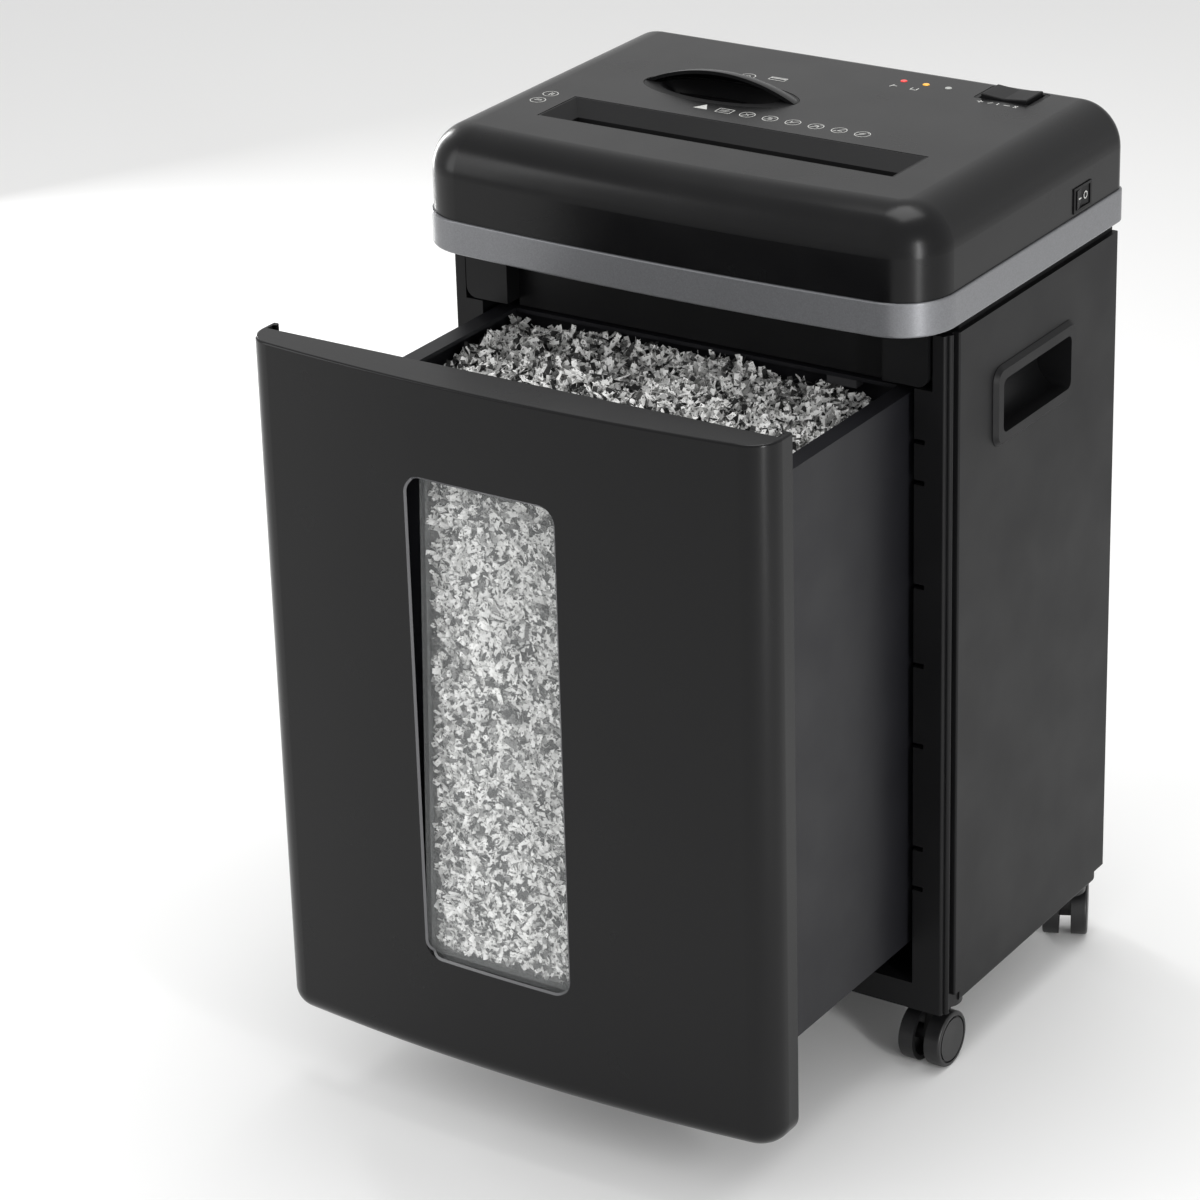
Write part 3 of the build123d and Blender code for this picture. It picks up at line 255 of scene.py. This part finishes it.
def lamp_lens(name, colour, glow):
    """A tinted lamp lens: bright core under a smooth dome."""
    material, tree, output, place = new_surface(name)
    haze = grain_noise(tree, place, 1.5)
    shader = add_node(tree, "ShaderNodeBsdfPrincipled",
                      {"Base Color": linear(colour), "Roughness": ramp(tree, haze, 0.3, 0.7, 0.12, 0.22),
                       "Emission Color": linear(colour), "Emission Strength": glow, "Coat Weight": 0.6})
    finish_surface(tree, output, shader)
    return material


def circuit_laminate():
    """Lacquered glass-fibre board: green with faint darker tracks."""
    material, tree, output, place = new_surface("lacquered_laminate")
    tracks = add_node(tree, "ShaderNodeTexWave", {"Vector": place, "Scale": 160.0, "Distortion": 3.0})
    colour = add_node(tree, "ShaderNodeMix", {"Factor": tracks.outputs["Fac"], "A": linear("#1c5a2c"),
                                              "B": linear("#2f7a41")}, data_type="RGBA")
    shader = add_node(tree, "ShaderNodeBsdfPrincipled", {"Base Color": colour.outputs["Result"],
                                                         "Roughness": 0.3, "Coat Weight": 0.4})
    finish_surface(tree, output, shader)
    return material


def cut_paper():
    """Office paper cut to flakes: matt fibre, each with its own tone and bits of print across it."""
    material, tree, output, place = new_surface("cut_office_paper")
    tone = add_node(tree, "ShaderNodeAttribute", attribute_name="tone").outputs["Color"]
    print_marks = grain_noise(tree, place, 1.9, 3.0)
    ink = ramp(tree, print_marks, 0.57, 0.61, 0.0, 0.85)
    printed = add_node(tree, "ShaderNodeMix", {"Factor": ink, "A": tone, "B": linear("#1a1a1c")},
                       data_type="RGBA")
    fibre = grain_noise(tree, place, 0.5)
    bump = add_node(tree, "ShaderNodeBump", {"Height": fibre, "Strength": 0.4, "Distance": 0.08 * MM})
    shader = add_node(tree, "ShaderNodeBsdfPrincipled",
                      {"Base Color": printed.outputs["Result"], "Roughness": 0.85,
                       "Normal": bump.outputs["Normal"]})
    finish_surface(tree, output, shader)
    return material


def packed_paper_painted_shade():
    """Paper deep in the heap: the same flakes too far in to tell apart, so mottled, and darker with painted
    shade for the gaps between them.
    """
    material, tree, output, place = new_surface("packed_office_paper_painted_shade")
    cells = add_node(tree, "ShaderNodeTexVoronoi", {"Vector": place, "Scale": 1 / (5 * MM)})
    mottle = add_node(tree, "ShaderNodeSeparateColor", {"Color": cells.outputs["Color"]})
    # near black to mid grey: painted shade, the shadow in the gaps between flakes deep in the heap and
    # behind the window
    colour = add_node(tree, "ShaderNodeMix", {"Factor": mottle.outputs["Red"], "A": linear("#141415"),
                                              "B": linear("#7d7d7b")}, data_type="RGBA")
    bump = add_node(tree, "ShaderNodeBump", {"Height": cells.outputs["Distance"], "Strength": 0.8,
                                             "Distance": 2 * MM})
    shader = add_node(tree, "ShaderNodeBsdfPrincipled",
                      {"Base Color": colour.outputs["Result"], "Roughness": 0.9,
                       "Normal": bump.outputs["Normal"]})
    finish_surface(tree, output, shader)
    return material


def pad_print_ink(finishes):
    """White pad-printed ink: flat and a little worn, so the black shows through in specks."""
    material, tree, output, place = new_surface("pad_print_ink")
    wear = ramp(tree, grain_noise(tree, place, 0.8), 0.35, 0.5, 0.6, 1.0)
    colour = add_node(tree, "ShaderNodeMix", {"Factor": wear, "A": linear("#4a4a4a"),
                                              "B": linear(finishes.symbol_white)}, data_type="RGBA")
    shader = add_node(tree, "ShaderNodeBsdfPrincipled", {"Base Color": colour.outputs["Result"],
                                                         "Roughness": 0.5})
    finish_surface(tree, output, shader)
    return material


def studio_paper():
    """Pale backdrop paper: matt and even, with only a breath of tone across it."""
    material, tree, output, place = new_surface("matt_backdrop_paper")
    drift = grain_noise(tree, place, 900)
    colour = add_node(tree, "ShaderNodeMix", {"Factor": drift, "A": linear("#eeeeed"),
                                              "B": linear("#f2f2f2")}, data_type="RGBA")
    shader = add_node(tree, "ShaderNodeBsdfPrincipled", {"Base Color": colour.outputs["Result"],
                                                         "Roughness": 0.9})
    finish_surface(tree, output, shader)
    return material


# ---------------------------------------------------------------- modelling helpers
def start_clean():
    """Leaves edit mode and deselects everything, so an operator acts only on what is added next."""
    if bpy.context.object and bpy.context.object.mode != "OBJECT":
        bpy.ops.object.mode_set(mode="OBJECT")
    bpy.ops.object.select_all(action="DESELECT")


def join_pieces(pieces, name):
    """Joins pieces into one named object whose origin is the frame's."""
    start_clean()
    for piece in pieces:
        piece.select_set(True)
    bpy.context.view_layer.objects.active = pieces[0]
    if len(pieces) > 1:
        bpy.ops.object.join()
    bpy.ops.object.transform_apply(location=True, rotation=True, scale=True)
    joined = bpy.context.object
    joined.name = name
    joined.data.name = name
    return joined


def dress(piece, material, body):
    """Gives a finished piece its material and the body it rides on."""
    piece.data.materials.clear()
    piece.data.materials.append(material)
    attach(piece, body)


def flat_ring(x, y, z, radius, width):
    """A printed ring on a flat top."""
    start_clean()
    bpy.ops.mesh.primitive_circle_add(vertices=40, radius=radius, fill_type="NGON", location=(x, y, z))
    bpy.ops.object.mode_set(mode="EDIT")
    bpy.ops.mesh.select_all(action="SELECT")
    bpy.ops.mesh.inset(thickness=width)
    bpy.ops.mesh.delete(type="FACE")
    bpy.ops.object.mode_set(mode="OBJECT")
    return bpy.context.object


def flat_disc(x, y, z, radius, vertices):
    """A printed dot, or with three vertices a triangle."""
    start_clean()
    bpy.ops.mesh.primitive_circle_add(vertices=vertices, radius=radius, fill_type="NGON",
                                      location=(x, y, z))
    return bpy.context.object


def flat_bar(x, y, z, length, width, turn=0.0):
    """A printed stroke."""
    start_clean()
    bpy.ops.mesh.primitive_plane_add(size=1, location=(x, y, z), rotation=(0, 0, turn))
    bpy.context.object.scale = (length, width, 1)
    return bpy.context.object


# ---------------------------------------------------------------- shredded paper
def flake_points(length, width):
    """One flake modelled flat as a strip of four faces, and read back as points and faces."""
    start_clean()
    bpy.ops.mesh.primitive_grid_add(x_subdivisions=4, y_subdivisions=1, size=1)
    strip = bpy.context.object
    points = [Vector((v.co.x * length, v.co.y * width, 0)) for v in strip.data.vertices]
    faces = [tuple(p.vertices) for p in strip.data.polygons]
    bpy.data.meshes.remove(strip.data)
    return points, faces


def scatter_flakes(name, places, tumble, lean, room, paper, rng):
    """Curled and tumbled copies of the flake, as one mesh with a tone on each.
    They lie flat on a sheet turned by lean, and reach no further from it than room either way.
    """
    points, faces = flake_points(paper.flake_length, paper.flake_width)
    all_points = []
    all_faces = []
    tones = []
    for place in places:
        turn = Euler((rng.gauss(0, tumble), rng.gauss(0, tumble), rng.uniform(0, 2 * pi))).to_matrix()
        curl = rng.uniform(-1, 1) / (6 * MM) * 0.5
        twist = rng.uniform(-1, 1) * 70
        stretch = rng.uniform(0.45, 1.15)
        shade = rng.random()
        if shade < 0.66:
            tone = rng.uniform(0.78, 1.0)
        elif shade < 0.84:
            tone = rng.uniform(0.16, 0.45)
        else:
            tone = rng.uniform(0.01, 0.05)
        base = len(all_points)
        for point in points:
            x = point.x * stretch
            curled = turn @ Vector((x, point.y, curl * x * x + twist * x * point.y))
            curled.z = max(-room, min(curled.z, room))
            all_points.append(place + lean @ curled)
            tones.append((tone, tone, tone * 0.985, 1.0))
        all_faces.extend(tuple(base + i for i in face) for face in faces)
    mesh = bpy.data.meshes.new(name)
    mesh.from_pydata(all_points, [], all_faces)
    attribute = mesh.color_attributes.new("tone", "FLOAT_COLOR", "POINT")
    for item, tone in zip(attribute.data, tones):
        item.color = tone
    piece = bpy.data.objects.new(name, mesh)
    bpy.context.scene.collection.objects.link(piece)
    return piece


def heap_height(x, y, middle):
    """Height of the paper's surface: lumps on lumps, falling to both sides and a little to the right."""
    lump = noise.noise(Vector((x * 22, y * 22, 3.0))) * 6 * MM
    fine = noise.noise(Vector((x * 90, y * 90, 8.0))) * 2.5 * MM
    fall = (x / (146 * MM)) ** 2 * 7 * MM
    return middle + lump + fine - fall - x * 0.02


class SHREDDER_OT_heap(bpy.types.Operator):
    """Heaps shredded paper in the bin, loose flakes over a packed core"""
    bl_idname = "shredder.heap"
    bl_label = "Paper heap"

    def execute(self, context):
        paper = context.scene.shredder_paper
        rng = random.Random(paper.seed)
        side = BIN_HIGH[0] - BIN_WALL - BIN_GAP
        near = BIN_LOW[1] + BIN_WALL + BIN_GAP
        far = BIN_HIGH[1] - BIN_WALL - BIN_GAP
        middle = RIM - paper.heap_drop
        core_drop = 4 * MM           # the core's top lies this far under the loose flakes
        core_depth = 40 * MM
        inset = 6 * MM               # flakes are dropped this far from the walls, so none pokes through
        highest = RIM - 3 * MM
        start_clean()
        bpy.ops.mesh.primitive_grid_add(x_subdivisions=90, y_subdivisions=64, size=1)
        core = context.object
        core.scale = (2 * side, far - near, 1)
        core.location = (0, (near + far) / 2, 0)
        core = join_pieces([core], "packed_paper_core")
        for vertex in core.data.vertices:
            vertex.co.z = heap_height(vertex.co.x, vertex.co.y, middle) - core_drop
        start_clean()
        core.select_set(True)
        context.view_layer.objects.active = core
        bpy.ops.object.mode_set(mode="EDIT")
        bpy.ops.mesh.select_all(action="SELECT")
        bpy.ops.mesh.extrude_region_move(TRANSFORM_OT_translate={"value": (0, 0, -core_depth)})
        bpy.ops.mesh.select_all(action="SELECT")
        bpy.ops.mesh.normals_make_consistent(inside=False)
        bpy.ops.object.mode_set(mode="OBJECT")
        # the core is dark with painted shade, which shows as shadow between the loose flakes
        dress(core, packed_paper_painted_shade(), "bin")
        places = []
        for _ in range(paper.heap_flakes):
            x = rng.uniform(-side + inset, side - inset)
            y = rng.uniform(near + inset, far - inset)
            lift = rng.uniform(-3, 3) * MM
            places.append(Vector((x, y, min(heap_height(x, y, middle) + lift, highest))))
        flakes = scatter_flakes("loose_paper_flakes", places, 0.75, Matrix.Identity(3), 1.0, paper, rng)
        dress(flakes, cut_paper(), "bin")
        return {"FINISHED"}


def window_inside(z):
    """Y of the leaning window's inner face at a height."""
    return LENS_LOW[1] + LENS_WALL + (z - LENS_LOW[2]) * LENS_LEAN


class SHREDDER_OT_window_paper(bpy.types.Operator):
    """Presses shredded paper against the inside of the bin's leaning window"""
    bl_idname = "shredder.window_paper"
    bl_label = "Paper behind the window"

    def execute(self, context):
        paper = context.scene.shredder_paper
        rng = random.Random(paper.seed + 1)
        left = LENS_LOW[0] + LENS_WALL + WINDOW_GAP
        right = LENS_HIGH[0] - LENS_WALL - WINDOW_GAP
        low = LENS_LOW[2] + LENS_WALL + WINDOW_GAP
        high = LENS_HIGH[2] - LENS_WALL - WINDOW_GAP
        core_thickness = 8 * MM
        core_middle = 8.5 * MM       # behind the window's inner face
        inset = 3.5 * MM             # flakes lie this far inside the window's walls
        start_clean()
        bpy.ops.mesh.primitive_cube_add(size=1)
        core = context.object
        core.scale = (right - left, core_thickness, high - low)
        core.location = ((left + right) / 2, 0, (low + high) / 2)
        core = join_pieces([core], "packed_window_paper")
        for vertex in core.data.vertices:
            vertex.co.y += window_inside(vertex.co.z) + core_middle
        # the core behind the window flakes is dark with painted shade, which shows as shadow between them
        dress(core, packed_paper_painted_shade(), "bin")
        places = []
        for _ in range(paper.window_flakes):
            x = rng.uniform(left + inset, right - inset)
            z = rng.uniform(low + inset, high - inset)
            places.append(Vector((x, window_inside(z) + rng.uniform(2.6, 5.5) * MM, z)))
        upright = Matrix.Rotation(radians(90), 3, "X")
        flakes = scatter_flakes("window_paper_flakes", places, 0.35, upright, 2.3 * MM, paper, rng)
        dress(flakes, cut_paper(), "bin")
        return {"FINISHED"}


# ---------------------------------------------------------------- printed symbols
def ringed(x, y, z, strokes):
    """A ring with strokes inside it, each given as offset x, y, length and turn in mm and degrees."""
    pieces = [flat_ring(x, y, z, 5.0 * MM, 0.55 * MM)]
    for dx, dy, length, turn in strokes:
        pieces.append(flat_bar(x + dx * MM, y + dy * MM, z, length * MM, 0.7 * MM, radians(turn)))
    return pieces


class SHREDDER_OT_symbols(bpy.types.Operator):
    """Prints the plain care symbols on the head's top and beside its controls"""
    bl_idname = "shredder.symbols"
    bl_label = "Printed symbols"

    def execute(self, context):
        z = HEAD_TOP + INK_LIFT
        row = FRONT + 85 * MM
        pitch = 15.9 * MM
        first = -43 * MM
        pieces = []
        # warning triangle and sheet at the start of the row
        pieces.append(flat_disc(first, row, z, 5.6 * MM, vertices=3))
        for dx, dy, length, turn in ((0, 3.6, 10, 0), (0, -3.6, 10, 0), (-5, 0, 7.2, 90), (5, 0, 7.2, 90),
                                     (0, 1, 6, 0), (0, -1, 6, 0)):
            pieces.append(flat_bar(first + pitch + dx * MM, row + dy * MM, z, length * MM, FINE_STROKE,
                                   radians(turn)))
        # six round symbols, each crossed by its own strokes
        inside = (((0, 0, 8, 45), (0, 0, 4, -45)), ((0, 0, 8, 45), (0, 1.5, 4, 0), (0, -1.5, 4, 0)),
                  ((0, 0, 8, 45), (-1.5, 0, 4, 90)), ((0, 0, 8, 45), (1.5, 0, 4, 90), (0, 1.5, 4, 0)),
                  ((0, 0, 8, 45), (0, -1.2, 5, 0)), ((0, 0, 8, 45), (0, 1.2, 5, 20)))
        for index, strokes in enumerate(inside):
            pieces += ringed(first + (index + 2) * pitch, row, z, strokes)
        # two round symbols by the entry's left end, one beside the card slot with a card mark
        entry_side = -139 * MM
        disc_x, disc_y = -51 * MM, FRONT + 151.5 * MM
        card_x, card_y = -31.5, 155
        pieces += ringed(entry_side, FRONT + 50 * MM, z, ((0, 0, 5, 0), (0, 1.6, 4, 0)))
        pieces += ringed(entry_side, FRONT + 64 * MM, z, ((0, 0, 5, 90), (1.6, 0, 4, 90)))
        pieces += ringed(disc_x, disc_y, z, ())
        pieces.append(flat_ring(disc_x, disc_y, z, 1.7 * MM, 0.5 * MM))
        for dy in (-2.6, 2.6):
            pieces.append(flat_bar(card_x * MM, FRONT + (card_y + dy) * MM, z, 11 * MM, FINE_STROKE))
        for dx in (-5.5, 5.5):
            pieces.append(flat_bar((card_x + dx) * MM, FRONT + card_y * MM, z, 5.8 * MM, FINE_STROKE,
                                   radians(90)))
        pieces.append(flat_bar(card_x * MM, FRONT + (card_y + 1) * MM, z, 10.5 * MM, 1.2 * MM))
        # marks by the lamps and before the rocker
        for lamp, strokes in (("overheat_lens", ((0, 0, 5, 80), (2, 0, 3, 0))),
                              ("bin_lens", ((-2, 0, 4, 90), (2, 0, 4, 90), (0, -2, 4, 0)))):
            low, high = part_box(lamp)
            x = (low[0] + high[0]) / 2
            for dx, dy, length, turn in strokes:
                pieces.append(flat_bar(x + (dx - 2) * MM, low[1] + (dy - 9) * MM, z, length * MM,
                                       BOLD_STROKE, radians(turn)))
        low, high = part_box("function_switch_well")
        middle = (low[0] + high[0]) / 2
        for dx, length, turn in ((-12, 4, 0), (-12, 4, 90), (-5, 3.4, 45), (0, 3.4, 90), (6, 4, 0),
                                 (12, 4, 60), (12, 4, -60)):
            pieces.append(flat_bar(middle + dx * MM, low[1] - 5 * MM, z, length * MM, BOLD_STROKE,
                                   radians(turn)))
        symbols = join_pieces(pieces, "printed_symbols")
        dress(symbols, pad_print_ink(context.scene.shredder_finishes), "cabinet")
        return {"FINISHED"}


class SHREDDER_OT_rocker_marks(bpy.types.Operator):
    """Prints the bar and the ring on the power rocker's face"""
    bl_idname = "shredder.rocker_marks"
    bl_label = "Power rocker marks"

    def execute(self, context):
        low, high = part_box("power_rocker")
        middle_y, middle_z = (low[1] + high[1]) / 2, (low[2] + high[2]) / 2
        lift = 0.25 * MM
        bar = flat_bar(0, 0, 0, 5 * MM, 0.9 * MM)
        ring = flat_ring(0, 0, 0, 2.4 * MM, 0.7 * MM)
        for mark, dy, x in ((bar, -4.6, high[0] - 0.9 * MM + lift), (ring, 4.4, high[0] - 1.45 * MM + lift)):
            mark.rotation_euler = (radians(90), 0, radians(90))
            mark.location = (x, middle_y + dy * MM, middle_z)
        marks = join_pieces([bar, ring], "power_rocker_marks")
        dress(marks, pad_print_ink(context.scene.shredder_finishes), "power_rocker")
        return {"FINISHED"}


# ---------------------------------------------------------------- window edge
class SHREDDER_OT_window_edge(bpy.types.Operator):
    """Rounds a thin lip round the window's opening, bowed like the panel's face, and colours it light grey
    as a painted highlight along the window's edge
    """
    bl_idname = "shredder.window_edge"
    bl_label = "Window edge"

    def execute(self, context):
        left, right = LENS_LOW[0] + LENS_SIDE, LENS_HIGH[0] - LENS_SIDE
        low, high = LENS_LOW[2] + LENS_END, LENS_HIGH[2] - LENS_END
        start_clean()
        bpy.ops.mesh.primitive_plane_add(size=1, location=((left + right) / 2, 0, (low + high) / 2),
                                         rotation=(radians(90), 0, 0))
        lip = context.object
        lip.scale = (right - left, high - low, 1)
        lip = join_pieces([lip], "window_lip")
        bpy.ops.object.mode_set(mode="EDIT")
        bpy.ops.mesh.select_all(action="SELECT")
        bpy.ops.mesh.bevel(offset=WINDOW_CORNER, segments=8, affect="VERTICES")
        bpy.ops.mesh.select_all(action="SELECT")
        bpy.ops.mesh.inset(thickness=1.3 * MM, depth=0)
        bpy.ops.mesh.delete(type="FACE")
        bpy.ops.mesh.select_all(action="SELECT")
        bpy.ops.mesh.subdivide(number_cuts=6)
        bpy.ops.object.mode_set(mode="OBJECT")
        half = (PANEL_HIGH[0] - PANEL_LOW[0]) / 2
        for vertex in lip.data.vertices:
            inside = min(vertex.co.x - left, right - vertex.co.x, vertex.co.z - low, high - vertex.co.z)
            bow = PANEL_BOW * (vertex.co.x / half) ** 2
            vertex.co.y = PANEL_LOW[1] + bow - 0.15 * MM + max(inside, 0) * 0.9
        solid = lip.modifiers.new("thickness", "SOLIDIFY")
        solid.thickness = 0.8 * MM
        solid.offset = -1
        start_clean()
        lip.select_set(True)
        context.view_layer.objects.active = lip
        bpy.ops.object.modifier_apply(modifier=solid.name)
        bpy.ops.object.shade_smooth_by_angle(angle=radians(50))
        # the lip's light grey #58585a is a painted highlight for the light caught by the black gloss edge,
        # not the plastic's own colour
        dress(lip, moulded("window_lip_painted_highlight", "#58585a", 0.2, 0.26, 2.2, 0.01), "bin")
        return {"FINISHED"}


# ---------------------------------------------------------------- finishes on the CAD nodes
class SHREDDER_OT_finishes(bpy.types.Operator):
    """Gives every CAD node its material"""
    bl_idname = "shredder.finishes"
    bl_label = "Finishes"

    def execute(self, context):
        finishes = context.scene.shredder_finishes
        by_slot = {
            "black_gloss_abs": polished_abs(finishes),
            "black_satin_abs": etched_abs(finishes),
            "silver_paint": silver_paint(finishes),
            "smoke_clear": clear_polycarbonate(),
            # the gland's rubber is dull and slightly dusty
            "black_rubber": moulded("moulded_rubber", "#141414", 0.7, 0.85, 0.8, 0.05),
            "red_lens": lamp_lens("red_acrylic", "#d8140c", 0.5),
            "amber_lens": lamp_lens("amber_acrylic", "#e8a515", 0.5),
            "clear_lens": lamp_lens("frosted_acrylic", "#a8aaa6", 0.0),
            # nylon wheels are scuffed to a soft sheen
            "black_nylon": moulded("moulded_nylon", "#121213", 0.34, 0.5, 1.2, 0.06),
            "zinc_steel": metal("zinc_plated_steel", "#b9bbb9", 0.28, 0.42, 0.6),
            "cutter_steel": metal("ground_tool_steel", "#8c8d8f", 0.22, 0.38, 0.4),
            "bronze": metal("sintered_bronze", "#a77d43", 0.4, 0.55, 0.5),
            # acetal is milky and slippery
            "white_acetal": moulded("moulded_acetal", "#dcdad2", 0.3, 0.4, 1.5, 0.03),
            "board_green": circuit_laminate(),
            "magnet_ferrite": moulded("sintered_ferrite", "#2b2b2d", 0.6, 0.75, 0.8, 0.08),
        }
        for part in frame["record"]["subparts"]:
            node = frame["nodes"][part["node"]]
            material = by_slot[part["material_slot"]]
            for slot in node.material_slots:
                slot.material = material
        polypropylene = bin_polypropylene()
        for slot in frame["nodes"]["bin_shell"].material_slots:
            slot.material = polypropylene
        return {"FINISHED"}


# ---------------------------------------------------------------- studio
def soft_light(name, place, aim, size, power, tall=None):
    """A soft box aimed at a point."""
    data = bpy.data.lights.new(name, "AREA")
    data.shape = "RECTANGLE"
    data.size = size
    data.size_y = tall or size
    data.energy = power
    light = bpy.data.objects.new(name, data)
    bpy.context.scene.collection.objects.link(light)
    light.location = place
    light.rotation_euler = (Vector(aim) - Vector(place)).to_track_quat("-Z", "Y").to_euler()
    light.visible_camera = False


class SHREDDER_OT_studio(bpy.types.Operator):
    """Sets the pale floor, the soft lights and the camera"""
    bl_idname = "shredder.studio"
    bl_label = "Studio"

    def execute(self, context):
        studio = context.scene.shredder_studio
        start_clean()
        bpy.ops.mesh.primitive_plane_add(size=16, location=(0, 0, 0))
        floor = context.object
        floor.name = "studio_floor"
        floor.data.materials.append(studio_paper())
        world = bpy.data.worlds.new("studio_air")
        world.use_nodes = True
        air = world.node_tree.nodes["Background"]
        air.inputs["Color"].default_value = linear("#f4f4f4")
        air.inputs["Strength"].default_value = studio.backdrop
        context.scene.world = world
        aim = (0, 0, 0.3)
        soft_light("left_box", (-1.9, -1.5, 1.2), aim, 0.9, 16, 1.8)
        soft_light("top_box", (0.1, 0.3, 2.4), aim, 1.3, 22)
        # low strips that draw the soft lines down the rounded ends
        soft_light("right_strip", (1.45, -0.72, 0.55), aim, 0.12, 12, 1.0)
        soft_light("left_strip", (-1.5, 0.75, 0.55), aim, 0.2, 10, 1.0)
        context.scene.view_settings.view_transform = "Standard"
        turn, rise, roll = studio.azimuth, studio.elevation, studio.roll
        back = Vector((sin(turn) * cos(rise), -cos(turn) * cos(rise), sin(rise)))
        right = Vector((cos(turn), sin(turn), 0))
        up = back.cross(right)
        tilted_right = right * cos(roll) + up * sin(roll)
        tilted_up = up * cos(roll) - right * sin(roll)
        aim = Vector((-71.1 * MM, FRONT, 267.7 * MM))
        camera_data = bpy.data.cameras.new("camera")
        camera_data.lens = studio.lens
        camera_data.sensor_width = 36
        camera_data.clip_end = 50
        camera = bpy.data.objects.new("camera", camera_data)
        context.scene.collection.objects.link(camera)
        axes = Matrix((tilted_right, tilted_up, back)).transposed()
        camera.matrix_world = Matrix.Translation(aim + back * studio.distance) @ axes.to_4x4()
        context.scene.camera = camera
        return {"FINISHED"}


OPERATORS = (SHREDDER_OT_finishes, SHREDDER_OT_symbols, SHREDDER_OT_rocker_marks,
             SHREDDER_OT_window_edge, SHREDDER_OT_heap, SHREDDER_OT_window_paper, SHREDDER_OT_studio)


class SHREDDER_PT_panel(bpy.types.Panel):
    """Lists the shredder's steps in the order that they are run"""
    bl_idname = "SHREDDER_PT_panel"
    bl_label = "Paper shredder"
    bl_space_type = "VIEW_3D"
    bl_region_type = "UI"
    bl_category = "Shredder"

    def draw(self, context):
        for operator in OPERATORS:
            self.layout.operator(operator.bl_idname)
        for group in ("shredder_finishes", "shredder_paper", "shredder_studio"):
            settings = getattr(context.scene, group)
            for name in settings.__annotations__:
                self.layout.prop(settings, name)


CLASSES = (ShredderFinishes, ShredderPaper, ShredderStudio, *OPERATORS, SHREDDER_PT_panel)


def register():
    """Registers the classes and hangs the settings on the scene."""
    for cls in CLASSES:
        bpy.utils.register_class(cls)
    bpy.types.Scene.shredder_finishes = bpy.props.PointerProperty(type=ShredderFinishes)
    bpy.types.Scene.shredder_paper = bpy.props.PointerProperty(type=ShredderPaper)
    bpy.types.Scene.shredder_studio = bpy.props.PointerProperty(type=ShredderStudio)


def unregister():
    """Takes the settings and the classes away again."""
    del bpy.types.Scene.shredder_studio
    del bpy.types.Scene.shredder_paper
    del bpy.types.Scene.shredder_finishes
    for cls in reversed(CLASSES):
        bpy.utils.unregister_class(cls)


def main():
    """Builds the looks in order."""
    register()
    for operator in OPERATORS:
        group, step = operator.bl_idname.split(".")
        getattr(getattr(bpy.ops, group), step)()


if __name__ == "__main__":
    main()
